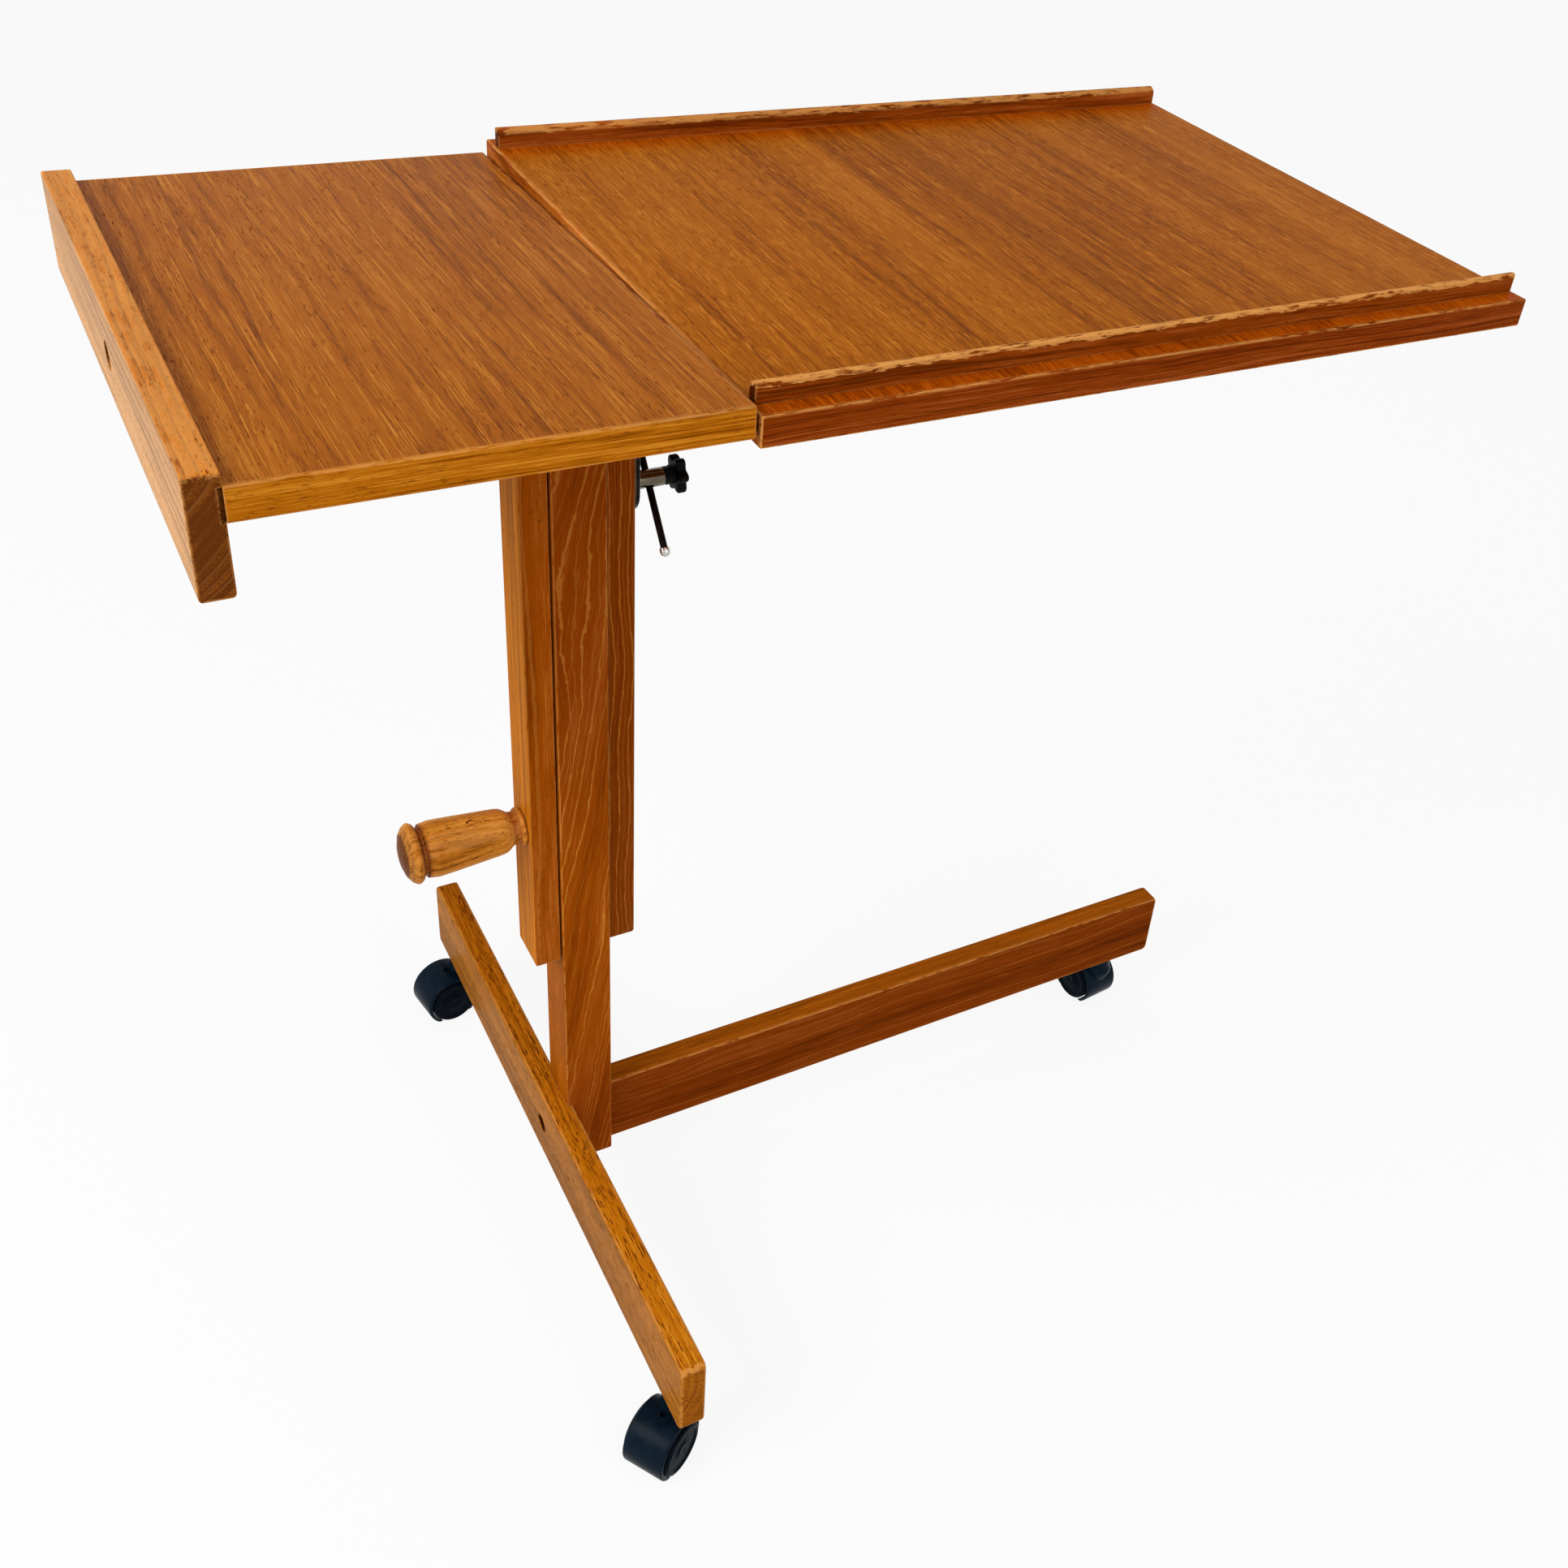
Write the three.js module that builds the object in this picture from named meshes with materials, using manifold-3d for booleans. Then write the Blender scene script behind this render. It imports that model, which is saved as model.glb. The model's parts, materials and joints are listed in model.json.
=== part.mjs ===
// Rolling tray table: a fixed top and a tilting tray on a post that is set to height with a clamp
// Millimetres, +Z up. +X runs from the post along the long foot, -Y is the front.
// Everything is laid out from the post's centre line and the floor, and moved at the end so that
// the origin is the middle of the footprint.

import * as THREE from 'three';
import { mergeVertices } from 'three/addons/utils/BufferGeometryUtils.js';
import Module from 'manifold-3d';

const wasm = await Module();
wasm.setup();

// Fits shared by all pieces
const clearance = 0.3; // around pins, bolts and anything that turns or slides
const glueLine = 0.1; // between timber pieces that are glued, pressed or screwed together
const overrun = 5; // how far a cut runs past the face it opens
const ease = 1; // rounded arris on all solid timber
const cornerRound = 3; // rounded corner of end board and apron, seen from the side

// Fineness of the round forms
const easeSteps = 2;
const cornerSteps = 3;
const lipSteps = 5;
const wheelSides = 24;
const handleSides = 24;
const boreSides = 20;
const smallSides = 12;

// Tops
const tableHeight = 784; // floor to the fixed top, as the table stands
const topDepth = 420; // front to back, fixed top and tray
const boardThick = 18;
const fixedTopReach = 251; // end board to the joint with the tray
const jointPastRail = 3.6; // the joint lies this far past the right rail's inner face
const jointGap = 1.8;
const trayLength = 539;
const trayLift = 1.5; // tray's surface above the fixed top when level
const lippingThick = 2;
const topCornerRound = 1.5;
const restTilt = THREE.MathUtils.degToRad(1.95); // back edge of the tray up

// Lips that keep a book on the tray
const lipInset = 13;
const lipWidth = 7;
const lipHeight = 12;
const lipEndGap = 2.2;
const lipHousing = 0.4; // lips let into the board
const lipOuterRound = 1.2;
const lipInnerRound = 5.2;

// End board at the left
const endBoardThick = 16.5;
const endBoardHeight = 63;
const endBoardRise = 7.4; // above the fixed top
const endBoardLowerRound = 4; // long lower arrises
const grooveDepth = 2.3;
const tongueStep = 0.4; // board's tongue in the groove lies this far below its surface

// Beam under the fixed top, and the bolt that holds the end board to it
const apronWidth = 30;
const timberUnderAxis = 14; // beam and tray bearers hang this far below the tilt shaft's axis
const endBoltDrop = 6.1; // bolt's axis below the board
const endBoltRadius = 3.5;
const endBoltHeadRadius = 6;
const endBoltHeadThick = 4;
const endBoltLength = 58;
const boltWellRadius = 8; // sunk hole over the two timber bolts
const boltWellDepth = 8;

// Post, and the two rails of the head that slide on it
const postWidth = 36;
const postDepth = 39;
const postRound = 1.2;
const leftSlip = 1.2;
const rightSlip = 0.4;
const railThick = 19;
const railDepth = 35;
const railLength = 500;
const rightRailShorter = 7; // at the lower end
const railRound = 6; // lower corners
const headDrop = 55; // travel of the head down from here
const headRaise = 230; // and up
const stopGap = 3; // left between spacer and post at the lowest setting
const spacerUnderShaft = 2;

// Clamp through rails and post
const clampRise = 120.5; // bolt above the rails' lower ends
const clampBoltRadius = 4;
const clampBoltReach = 40; // into the handle
const slotSlip = 0.5;
const boltHeadRadius = 10;
const boltHeadHeight = 4;
const boltNeckLength = 5;

// Turned handle on the clamp bolt, from the rail outwards
const handleLength = 85;
const handleRadius = 21;
const insertRadius = 6;
const insertLength = 14;
const insertInset = 1;

// Tilt shaft and its collars
const axisDrop = 20; // shaft's axis below the fixed top's underside
const shaftRadius = 8;
const shaftWall = 2;
const shaftInApron = 59;
const shaftTail = 5;
const plugDepth = 10;
const plugHead = 2.5;
const collarRadius = 13;
const collarWidth = 7;

// Bearers that hang the tray on the shaft
const bearerThick = 20;
const bearerLength = 200;
const bearerEndHeight = 12;
const bearerFlat = 70; // lower edge, before it rises to the ends
const innerBearerInset = 42.2; // from the tray's left end
const outerBearerInset = 122.8; // from the tray's right end

// Stay that holds the tilt: plate on the right rail, turning sleeve, rod and star knob
const plateThick = 3;
const sleeveDrop = 108; // below the shaft's axis
const sleeveRadius = 6;
const sleeveLength = 22.5;
const sleeveEdge = 0.5;
const journalRadius = 4;
const journalInRail = 8;
const rodFromPlate = 12;
const rodRadius = 2.3;
const rodHoleRadius = 3.4;
const rodTail = 51; // rod below the sleeve's axis
const rodTipRadius = 3.3;
const rodTipLength = 6;
const rodTipSocket = 4;
const eyeRadius = 4.5;
const eyeWidth = 5.4;
const bracketReach = 100; // pin behind the tray's axis
const pinDrop = 8; // pin below the tray
const pinRadius = 2;
const pinHeadRadius = 3.2;
const pinHeadThick = 1;
const bracketThick = 2;
const bracketWidth = 18;
const bracketLength = 34;
const earRadius = 5.5;
const bracketRound = 3;

// Star knob that clamps the rod
const knobLobes = 6;
const knobStepsPerLobe = 6;
const knobRadius = 11;
const knobLobeHeight = 1.7;
const knobThick = 6.5;
const knobEdge = 1.2;
const hubRadius = 5.8;
const hubLength = 6.5;
const knobScrewRadius = 3;
const knobScrewInKnob = 10;
const knobScrewGap = 0.6; // left to the rod, so that the knob can be tightened

// Feet
const footHeight = 64;
const footThick = 19;
const footRound = 5; // corners, seen from the side
const footEase = 2; // arrises
const crossFootLength = 544;
const longFootLength = 545;
const housingDepth = 4; // post let into the cross foot
const casterInset = 30;
const longCasterInset = 46;

// Bolt, barrel nut and dowels that join the foot
const baseBoltRadius = 4;
const baseBoltHeadRadius = 7;
const baseBoltHeadThick = 5;
const baseBoltReach = 47; // into the long foot
const barrelRadius = 6;
const barrelLength = 17;
const barrelReach = 40;
const dowelRadius = 4;
const dowelLength = 40;
const dowelInPost = 18;
const dowelOffset = 20; // above and below the bolt

// Twin-wheel casters
const casterHeight = 53; // floor to the underside of the feet
const wheelRadius = 20;
const wheelWidth = 14;
const wheelRound = 2;
const wheelInnerRound = 0.7;
const wheelDishRadius = 15;
const wheelBossRadius = 6;
const wheelDishDepth = 0.8;
const wheelFaceWall = 2.5;
const casterTrail = 16;
const hoodRadius = 24;
const hoodWall = 2.5;
const hoodWidth = 33.4;
const hoodEdge = 1.2;
const hoodFloorGap = 2.4;
const webThick = 9.4;
const webUnderAxle = 9;
const wheelSlip = 0.4;
const axleRadius = 3;
const neckRadius = 9;
const neckFlare = 2;
const neckFlareHeight = 12;
const neckRoot = 25; // neck reaches down this far from its top
const hoodWellRadius = 3;
const hoodWellReach = 13.5;
const hoodWellDepth = 4;
const stemRadius = 5;
const stemInHood = 14.5;
const stemInFoot = 34;
const stemTipLength = 3;
const stemGrooveDepth = 0.8;
const stemGrooveWidth = 2.5;
const socketWall = 2;
const socketLength = 38;
const nearHeading = THREE.MathUtils.degToRad(212);
const farHeading = THREE.MathUtils.degToRad(190);
const longHeading = THREE.MathUtils.degToRad(96);

// Heights worked out from the sizes above
const boardUnder = tableHeight - boardThick;
const axisHeight = boardUnder - axisDrop;
const timberBottom = axisHeight - timberUnderAxis;
const railBottom = boardUnder - railLength;
const clampHeight = railBottom + clampRise;
const spacerBottom = axisHeight - shaftRadius - spacerUnderShaft;
const postTop = spacerBottom - headDrop - stopGap;
const sleeveHeight = axisHeight - sleeveDrop;
const footTop = casterHeight + footHeight;
const footMiddle = casterHeight + footHeight / 2;
const endBoardTop = tableHeight + endBoardRise;

// Places along X
const postRight = postWidth / 2;
const postLeft = -postRight;
const leftRailInner = postLeft - leftSlip;
const leftRailOuter = leftRailInner - railThick;
const rightRailInner = postRight + rightSlip;
const rightRailOuter = rightRailInner + railThick;
const jointX = rightRailInner + jointPastRail;
const endBoardInner = jointX - fixedTopReach;
const endBoardOuter = endBoardInner - endBoardThick;
const trayLeft = jointX + jointGap;
const trayRight = trayLeft + trayLength;
const plateOuter = rightRailOuter + plateThick;
const rodX = plateOuter + rodFromPlate;
const sleeveStart = plateOuter + clearance;
const sleeveEnd = plateOuter + sleeveLength;
const knobStart = sleeveEnd + clearance;
const knobEnd = knobStart + hubLength + knobThick;
const innerBearerLeft = trayLeft + innerBearerInset;
const outerBearerRight = trayRight - outerBearerInset;
const outerCollarLeft = outerBearerRight + clearance;
const shaftLeft = leftRailOuter - shaftInApron;
const shaftRight = outerCollarLeft + collarWidth + shaftTail;
const crossFootInner = postLeft + housingDepth;
const crossFootOuter = crossFootInner - footThick;
const longFootEnd = postRight + longFootLength;
const baseBoltEnd = postRight + baseBoltReach;
const barrelX = postRight + barrelReach;

// Places in the tray's own frame, whose origin is the shaft's axis
const trayUnder = axisDrop + trayLift;
const trayTop = trayUnder + boardThick;
const pinZ = trayUnder - pinDrop;
const halfDepth = topDepth / 2;
const lipOuterFace = halfDepth - lipInset;
const lipInnerFace = lipOuterFace - lipWidth;

// Where the stay lies at rest: from the pin on the tray down to the sleeve
const pinPlace = new THREE.Vector2(
  bracketReach * Math.cos(restTilt) - pinZ * Math.sin(restTilt),
  bracketReach * Math.sin(restTilt) + pinZ * Math.cos(restTilt),
);
const stayVector = new THREE.Vector2(pinPlace.x, pinPlace.y + sleeveDrop);
const staySpan = stayVector.length();
const stayLean = Math.atan2(stayVector.x, stayVector.y);

// Finishes
const finishes = {
  teakVeneer: { color: 0xa4571f, roughness: 0.38, metalness: 0 },
  teakSolid: { color: 0xa95c22, roughness: 0.42, metalness: 0 },
  teakEdge: { color: 0x8a431a, roughness: 0.42, metalness: 0 },
  beechDowel: { color: 0xc79a63, roughness: 0.7, metalness: 0 },
  polishedSteel: { color: 0xb9bcc0, roughness: 0.25, metalness: 1 },
  zincSteel: { color: 0x8f9296, roughness: 0.45, metalness: 1 },
  darkSteel: { color: 0x4a4642, roughness: 0.4, metalness: 1 },
  blackPlastic: { color: 0x17181a, roughness: 0.45, metalness: 0 },
  wheelPlastic: { color: 0x1d2228, roughness: 0.5, metalness: 0 },
};

// Closed mesh with shared corners: only positions stay, and collapsed triangles go
function tidy(geometry) {
  const bare = geometry.index ? geometry.toNonIndexed() : geometry.clone();
  bare.deleteAttribute('normal');
  bare.deleteAttribute('uv');
  const merged = mergeVertices(bare);
  const corners = merged.index.array;
  const kept = [];
  for (let i = 0; i < corners.length; i += 3) {
    const [a, b, c] = corners.slice(i, i + 3);
    if (a !== b && b !== c && c !== a) kept.push(a, b, c);
  }
  merged.setIndex(kept);
  return merged;
}

function toSolid(geometry) {
  const closed = tidy(geometry);
  const vertProperties = Float32Array.from(closed.attributes.position.array);
  const triVerts = Uint32Array.from(closed.index.array);
  return new wasm.Manifold(new wasm.Mesh({ numProp: 3, vertProperties, triVerts }));
}

function fromSolid(solid) {
  const mesh = solid.getMesh();
  const geometry = new THREE.BufferGeometry();
  const positions = Float32Array.from(mesh.vertProperties);
  geometry.setAttribute('position', new THREE.BufferAttribute(positions, 3));
  geometry.setIndex(Array.from(mesh.triVerts));
  return geometry;
}

function cut(geometry, ...tools) {
  const whole = toSolid(geometry);
  return fromSolid(tools.reduce((solid, tool) => solid.subtract(toSolid(tool)), whole));
}

function join(geometry, ...others) {
  const whole = toSolid(geometry);
  return fromSolid(others.reduce((solid, other) => solid.add(toSolid(other)), whole));
}

function common(geometry, other) {
  return fromSolid(toSolid(geometry).intersect(toSolid(other)));
}

// Block between two corners
function block(x0, x1, y0, y1, z0, z1) {
  const box = new THREE.BoxGeometry(x1 - x0, y1 - y0, z1 - z0);
  return box.translate((x0 + x1) / 2, (y0 + y1) / 2, (z0 + z1) / 2);
}

// Round bars along each axis
function barX(radius, x0, x1, y, z, sides = boreSides) {
  const bar = new THREE.CylinderGeometry(radius, radius, x1 - x0, sides);
  return bar.rotateZ(-Math.PI / 2).translate((x0 + x1) / 2, y, z);
}

function barY(radius, y0, y1, x, z, sides = boreSides) {
  const bar = new THREE.CylinderGeometry(radius, radius, y1 - y0, sides);
  return bar.translate(x, (y0 + y1) / 2, z);
}

function barZ(radius, z0, z1, x, y, sides = boreSides) {
  const bar = new THREE.CylinderGeometry(radius, radius, z1 - z0, sides);
  return bar.rotateX(Math.PI / 2).translate(x, y, (z0 + z1) / 2);
}

// Turned form from a profile of radius and place along the axis, made about +Y
function turned(profile, sides) {
  const points = profile.map(([radius, along]) => new THREE.Vector2(radius, along));
  return new THREE.LatheGeometry(points, sides);
}

function turnedX(profile, sides) {
  return turned(profile, sides).rotateZ(-Math.PI / 2);
}

function turnedZ(profile, sides) {
  return turned(profile, sides).rotateX(Math.PI / 2);
}

// Rectangle with a radius at each corner: lower left, lower right, upper right, upper left
function rectangle(u0, u1, v0, v1, radii) {
  const [lowerLeft, lowerRight, upperRight, upperLeft] = radii;
  const shape = new THREE.Shape();
  shape.moveTo(u0 + lowerLeft, v0);
  shape.lineTo(u1 - lowerRight, v0);
  if (lowerRight > 0) shape.absarc(u1 - lowerRight, v0 + lowerRight, lowerRight, -Math.PI / 2, 0);
  shape.lineTo(u1, v1 - upperRight);
  if (upperRight > 0) shape.absarc(u1 - upperRight, v1 - upperRight, upperRight, 0, Math.PI / 2);
  shape.lineTo(u0 + upperLeft, v1);
  if (upperLeft > 0) shape.absarc(u0 + upperLeft, v1 - upperLeft, upperLeft, Math.PI / 2, Math.PI);
  shape.lineTo(u0, v0 + lowerLeft);
  if (lowerLeft > 0) shape.absarc(u0 + lowerLeft, v0 + lowerLeft, lowerLeft, Math.PI, Math.PI * 1.5);
  return shape;
}

function sameAllRound(value) {
  return [value, value, value, value];
}

// Upright outline with two round ends
function stadium(radius, v0, v1) {
  const shape = new THREE.Shape();
  shape.absarc(0, v1, radius, 0, Math.PI);
  shape.absarc(0, v0, radius, Math.PI, Math.PI * 2);
  shape.closePath();
  return shape;
}

// Plank cut to an outline, with its arrises eased
function plank(outline, thick, easing, steps = cornerSteps) {
  const sawn = new THREE.ExtrudeGeometry(outline, {
    depth: thick - 2 * easing,
    bevelEnabled: easing > 0,
    bevelThickness: easing,
    bevelSize: easing,
    bevelOffset: -easing,
    bevelSegments: easeSteps,
    curveSegments: steps,
  });
  return sawn.translate(0, 0, easing);
}

// The same from x0 to x1, its outline drawn in Y and Z
const outlineToYZ = new THREE.Matrix4().makeBasis(
  new THREE.Vector3(0, 1, 0),
  new THREE.Vector3(0, 0, 1),
  new THREE.Vector3(1, 0, 0),
);

function plankX(outline, x0, x1, easing, steps = cornerSteps) {
  return plank(outline, x1 - x0, easing, steps).applyMatrix4(outlineToYZ).translate(x0, 0, 0);
}

// The same from y0 to y1, its outline drawn in X and Z
function plankY(outline, y0, y1, easing, steps = cornerSteps) {
  return plank(outline, y1 - y0, easing, steps).rotateX(Math.PI / 2).translate(0, y1, 0);
}

function addPiece(group, name, geometry, finish) {
  const mesh = new THREE.Mesh(tidy(geometry), new THREE.MeshStandardMaterial(finishes[finish]));
  mesh.name = name;
  group.add(mesh);
}

function subGroup(parent, name) {
  const group = new THREE.Group();
  group.name = name;
  parent.add(group);
  return group;
}

// Veneered board with glued lippings, sawn out of one eased panel so that all arrises meet
function addLippedBoard(group, prefix, finish, sizes) {
  const { left, right, under, lippedLeft, lippingStart, recesses } = sizes;
  const panelLeft = lippedLeft ? left : left - overrun;
  const outline = rectangle(panelLeft, right, -halfDepth, halfDepth, sameAllRound(topCornerRound));
  const sawn = plank(outline, boardThick, ease).translate(0, 0, under);
  const panel = cut(sawn, ...recesses);
  const low = under - overrun;
  const high = under + boardThick + overrun;
  const inner = halfDepth - lippingThick;
  const coreLeft = lippedLeft ? left + lippingThick + glueLine : left;
  const coreRight = right - lippingThick - glueLine;
  const coreHalf = inner - glueLine;
  const saw = (x0, x1, y0, y1) => common(panel, block(x0, x1, y0, y1, low, high));
  addPiece(group, `${prefix}_board`, saw(coreLeft, coreRight, -coreHalf, coreHalf), finish);
  addPiece(group, `${prefix}_front_lipping`, saw(lippingStart, right, -halfDepth, -inner), 'teakEdge');
  addPiece(group, `${prefix}_back_lipping`, saw(lippingStart, right, inner, halfDepth), 'teakEdge');
  const rightStrip = saw(right - lippingThick, right, -coreHalf, coreHalf);
  addPiece(group, `${prefix}_right_lipping`, rightStrip, 'teakEdge');
  if (lippedLeft) {
    const leftStrip = saw(left, left + lippingThick, -coreHalf, coreHalf);
    addPiece(group, `${prefix}_left_lipping`, leftStrip, 'teakEdge');
  }
}

// Post: seated in the cross foot, slotted for the clamp bolt
function makePost() {
  const halfDeep = postDepth / 2;
  const outline = rectangle(postLeft, postRight, -halfDeep, halfDeep, sameAllRound(postRound));
  const timber = plank(outline, postTop - casterHeight, ease).translate(0, 0, casterHeight);
  const slotRadius = clampBoltRadius + slotSlip;
  const slot = stadium(slotRadius, clampHeight - headDrop, clampHeight + headRaise);
  const slotCut = plankX(slot, postLeft - overrun, postRight + overrun, 0, boreSides / 2);
  const bolt = barX(
    baseBoltRadius + clearance,
    postLeft - overrun,
    postRight + overrun,
    0,
    footMiddle,
    smallSides,
  );
  const dowels = [-dowelOffset, dowelOffset].map((offset) => barX(
    dowelRadius + glueLine,
    postRight - dowelInPost - glueLine,
    postRight + overrun,
    0,
    footMiddle + offset,
    smallSides,
  ));
  return cut(timber, slotCut, bolt, ...dowels);
}

// Bore for a caster's socket, up from the underside of a foot
function socketBore(x, y) {
  const radius = stemRadius + clearance + socketWall + glueLine;
  const top = casterHeight + socketLength + glueLine;
  return barZ(radius, casterHeight - overrun, top, x, y, smallSides);
}

function makeCrossFoot(casterPlaces) {
  const half = crossFootLength / 2;
  const outline = rectangle(-half, half, casterHeight, footTop, sameAllRound(footRound));
  const timber = plankX(outline, crossFootOuter, crossFootInner, footEase);
  const housing = block(
    postLeft - glueLine,
    crossFootInner + overrun,
    -postDepth / 2 - glueLine,
    postDepth / 2 + glueLine,
    casterHeight - overrun,
    footTop + overrun,
  );
  const wellFloor = crossFootOuter + boltWellDepth;
  const well = barX(boltWellRadius, crossFootOuter - overrun, wellFloor, 0, footMiddle);
  const boltRadius = baseBoltRadius + clearance;
  const boltEnd = crossFootInner + overrun;
  const bolt = barX(boltRadius, crossFootOuter, boltEnd, 0, footMiddle, smallSides);
  const sockets = casterPlaces.map(([x, y]) => socketBore(x, y));
  return cut(timber, housing, well, bolt, ...sockets);
}

function makeLongFoot(casterPlace) {
  const sawnEnd = postRight - overrun;
  const radii = sameAllRound(footRound);
  const outline = rectangle(sawnEnd, longFootEnd, casterHeight, footTop, radii);
  const timber = plankY(outline, -footThick / 2, footThick / 2, footEase);
  const waste = block(sawnEnd, postRight, -footThick, footThick, casterHeight, footTop);
  const bolt = barX(
    baseBoltRadius + clearance,
    postRight - overrun,
    baseBoltEnd + clearance,
    0,
    footMiddle,
    smallSides,
  );
  const barrelTop = footMiddle + barrelLength / 2 + glueLine;
  const barrelBore = barrelRadius + glueLine;
  const barrel = barZ(barrelBore, casterHeight - overrun, barrelTop, barrelX, 0, smallSides);
  const dowels = [-dowelOffset, dowelOffset].map((offset) => barX(
    dowelRadius + glueLine,
    postRight - overrun,
    postRight + dowelLength - dowelInPost + glueLine,
    0,
    footMiddle + offset,
    smallSides,
  ));
  return cut(timber, waste, bolt, barrel, socketBore(...casterPlace), ...dowels);
}

// Bolt with a cylinder head, along X from the floor of its sunk hole
function makeBolt(radius, headRadius, headThick, seatX, endX, height) {
  const profile = [
    [0, seatX - headThick],
    [headRadius, seatX - headThick],
    [headRadius, seatX - glueLine],
    [radius, seatX - glueLine],
    [radius, endX],
    [0, endX],
  ];
  return turnedX(profile, smallSides).translate(0, 0, height);
}

function makeBarrelNut() {
  const half = barrelLength / 2;
  const nut = barZ(barrelRadius, footMiddle - half, footMiddle + half, barrelX, 0, smallSides);
  const reach = barrelRadius + overrun;
  const bore = baseBoltRadius + clearance;
  return cut(nut, barX(bore, barrelX - reach, barrelX + reach, 0, footMiddle, smallSides));
}

function makeDowel(offset) {
  const start = postRight - dowelInPost;
  return barX(dowelRadius, start, start + dowelLength, 0, footMiddle + offset, smallSides);
}

function makeSocket(x, y) {
  const inner = stemRadius + clearance;
  const outer = inner + socketWall;
  const profile = [
    [inner, casterHeight],
    [outer, casterHeight],
    [outer, casterHeight + socketLength],
    [inner, casterHeight + socketLength],
    [inner, casterHeight],
  ];
  return turnedZ(profile, smallSides).translate(x, y, 0);
}

// Rails: the left one is square under the top, the right one is rounded to clear the tilting tray
function makeLeftRail() {
  const half = railDepth / 2;
  const radii = [railRound, railRound, postRound, postRound];
  const outline = rectangle(-half, half, railBottom, boardUnder, radii);
  const edgeRadii = [railRound, 0, 0, 0];
  const edge = rectangle(leftRailOuter, leftRailInner, railBottom, boardUnder, edgeRadii);
  const timber = common(
    plankX(outline, leftRailOuter, leftRailInner, ease),
    plankY(edge, -railDepth, railDepth, 0),
  );
  const low = leftRailOuter - overrun;
  const high = leftRailInner + overrun;
  const shaft = barX(shaftRadius + clearance, low, high, 0, axisHeight);
  const clamp = barX(clampBoltRadius + clearance, low, high, 0, clampHeight, smallSides);
  return cut(timber, shaft, clamp);
}

function makeRightRail() {
  const half = railDepth / 2;
  const bottom = railBottom + rightRailShorter;
  const outline = new THREE.Shape();
  outline.absarc(-half + railRound, bottom + railRound, railRound, Math.PI, Math.PI * 1.5);
  outline.absarc(half - railRound, bottom + railRound, railRound, -Math.PI / 2, 0);
  outline.absarc(0, axisHeight, half, 0, Math.PI);
  outline.closePath();
  const edgeRadii = [0, railRound, 0, 0];
  const edge = rectangle(rightRailInner, rightRailOuter, bottom, boardUnder, edgeRadii);
  const timber = common(
    plankX(outline, rightRailInner, rightRailOuter, ease, boreSides / 4),
    plankY(edge, -railDepth, railDepth, 0),
  );
  const low = rightRailInner - overrun;
  const high = rightRailOuter + overrun;
  const shaft = barX(shaftRadius + clearance, low, high, 0, axisHeight);
  const clamp = barX(clampBoltRadius + clearance, low, high, 0, clampHeight, smallSides);
  const neckHalf = clampBoltRadius + clearance;
  const neck = block(
    rightRailOuter - boltNeckLength - glueLine,
    high,
    -neckHalf,
    neckHalf,
    clampHeight - neckHalf,
    clampHeight + neckHalf,
  );
  const journalDepth = rightRailOuter - journalInRail - clearance;
  const journal = barX(journalRadius + clearance, journalDepth, high, 0, sleeveHeight);
  return cut(timber, shaft, clamp, neck, journal);
}

function makeSpacer() {
  const half = railDepth / 2;
  const timber = block(leftRailInner, rightRailInner, -half, half, spacerBottom, boardUnder);
  const low = leftRailInner - overrun;
  return cut(timber, barX(shaftRadius + clearance, low, rightRailInner + overrun, 0, axisHeight));
}

function makeApron() {
  const half = apronWidth / 2;
  const radii = [cornerRound, cornerRound, 0, 0];
  const outline = rectangle(-half, half, timberBottom, boardUnder, radii);
  const timber = plankX(outline, endBoardInner, leftRailOuter, 0);
  const shaftBore = shaftRadius + clearance;
  const shaft = barX(shaftBore, shaftLeft - clearance, leftRailOuter + overrun, 0, axisHeight);
  const boltEnd = endBoardOuter + boltWellDepth + endBoltLength + clearance;
  const boltBore = endBoltRadius + clearance;
  const bolt = barX(boltBore, endBoardInner - overrun, boltEnd, 0, boardUnder - endBoltDrop);
  return cut(timber, shaft, bolt);
}

function makeEndBoard() {
  const bottom = endBoardTop - endBoardHeight;
  const outline = rectangle(-halfDepth, halfDepth, bottom, endBoardTop, sameAllRound(cornerRound));
  const grooveY = halfDepth + overrun;
  const sectionRadii = [endBoardLowerRound, endBoardLowerRound, 0, 0];
  const section = rectangle(endBoardOuter, endBoardInner, bottom, endBoardTop, sectionRadii);
  const timber = common(
    plankX(outline, endBoardOuter, endBoardInner, ease),
    plankY(section, -grooveY, grooveY, 0),
  );
  const groove = block(
    endBoardInner - grooveDepth,
    endBoardInner + overrun,
    -grooveY,
    grooveY,
    boardUnder,
    tableHeight - tongueStep + glueLine,
  );
  const boltHeight = boardUnder - endBoltDrop;
  const wellFloor = endBoardOuter + boltWellDepth;
  const well = barX(boltWellRadius, endBoardOuter - overrun, wellFloor, 0, boltHeight);
  const boltBore = endBoltRadius + clearance;
  const bolt = barX(boltBore, endBoardOuter, endBoardInner + overrun, 0, boltHeight);
  return cut(timber, groove, well, bolt);
}

// Tube that carries the tray, open at both ends
function makeShaft() {
  const inner = shaftRadius - shaftWall;
  const profile = [
    [inner, shaftLeft],
    [shaftRadius, shaftLeft],
    [shaftRadius, shaftRight],
    [inner, shaftRight],
    [inner, shaftLeft],
  ];
  return turnedX(profile, boreSides).translate(0, 0, axisHeight);
}

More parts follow.
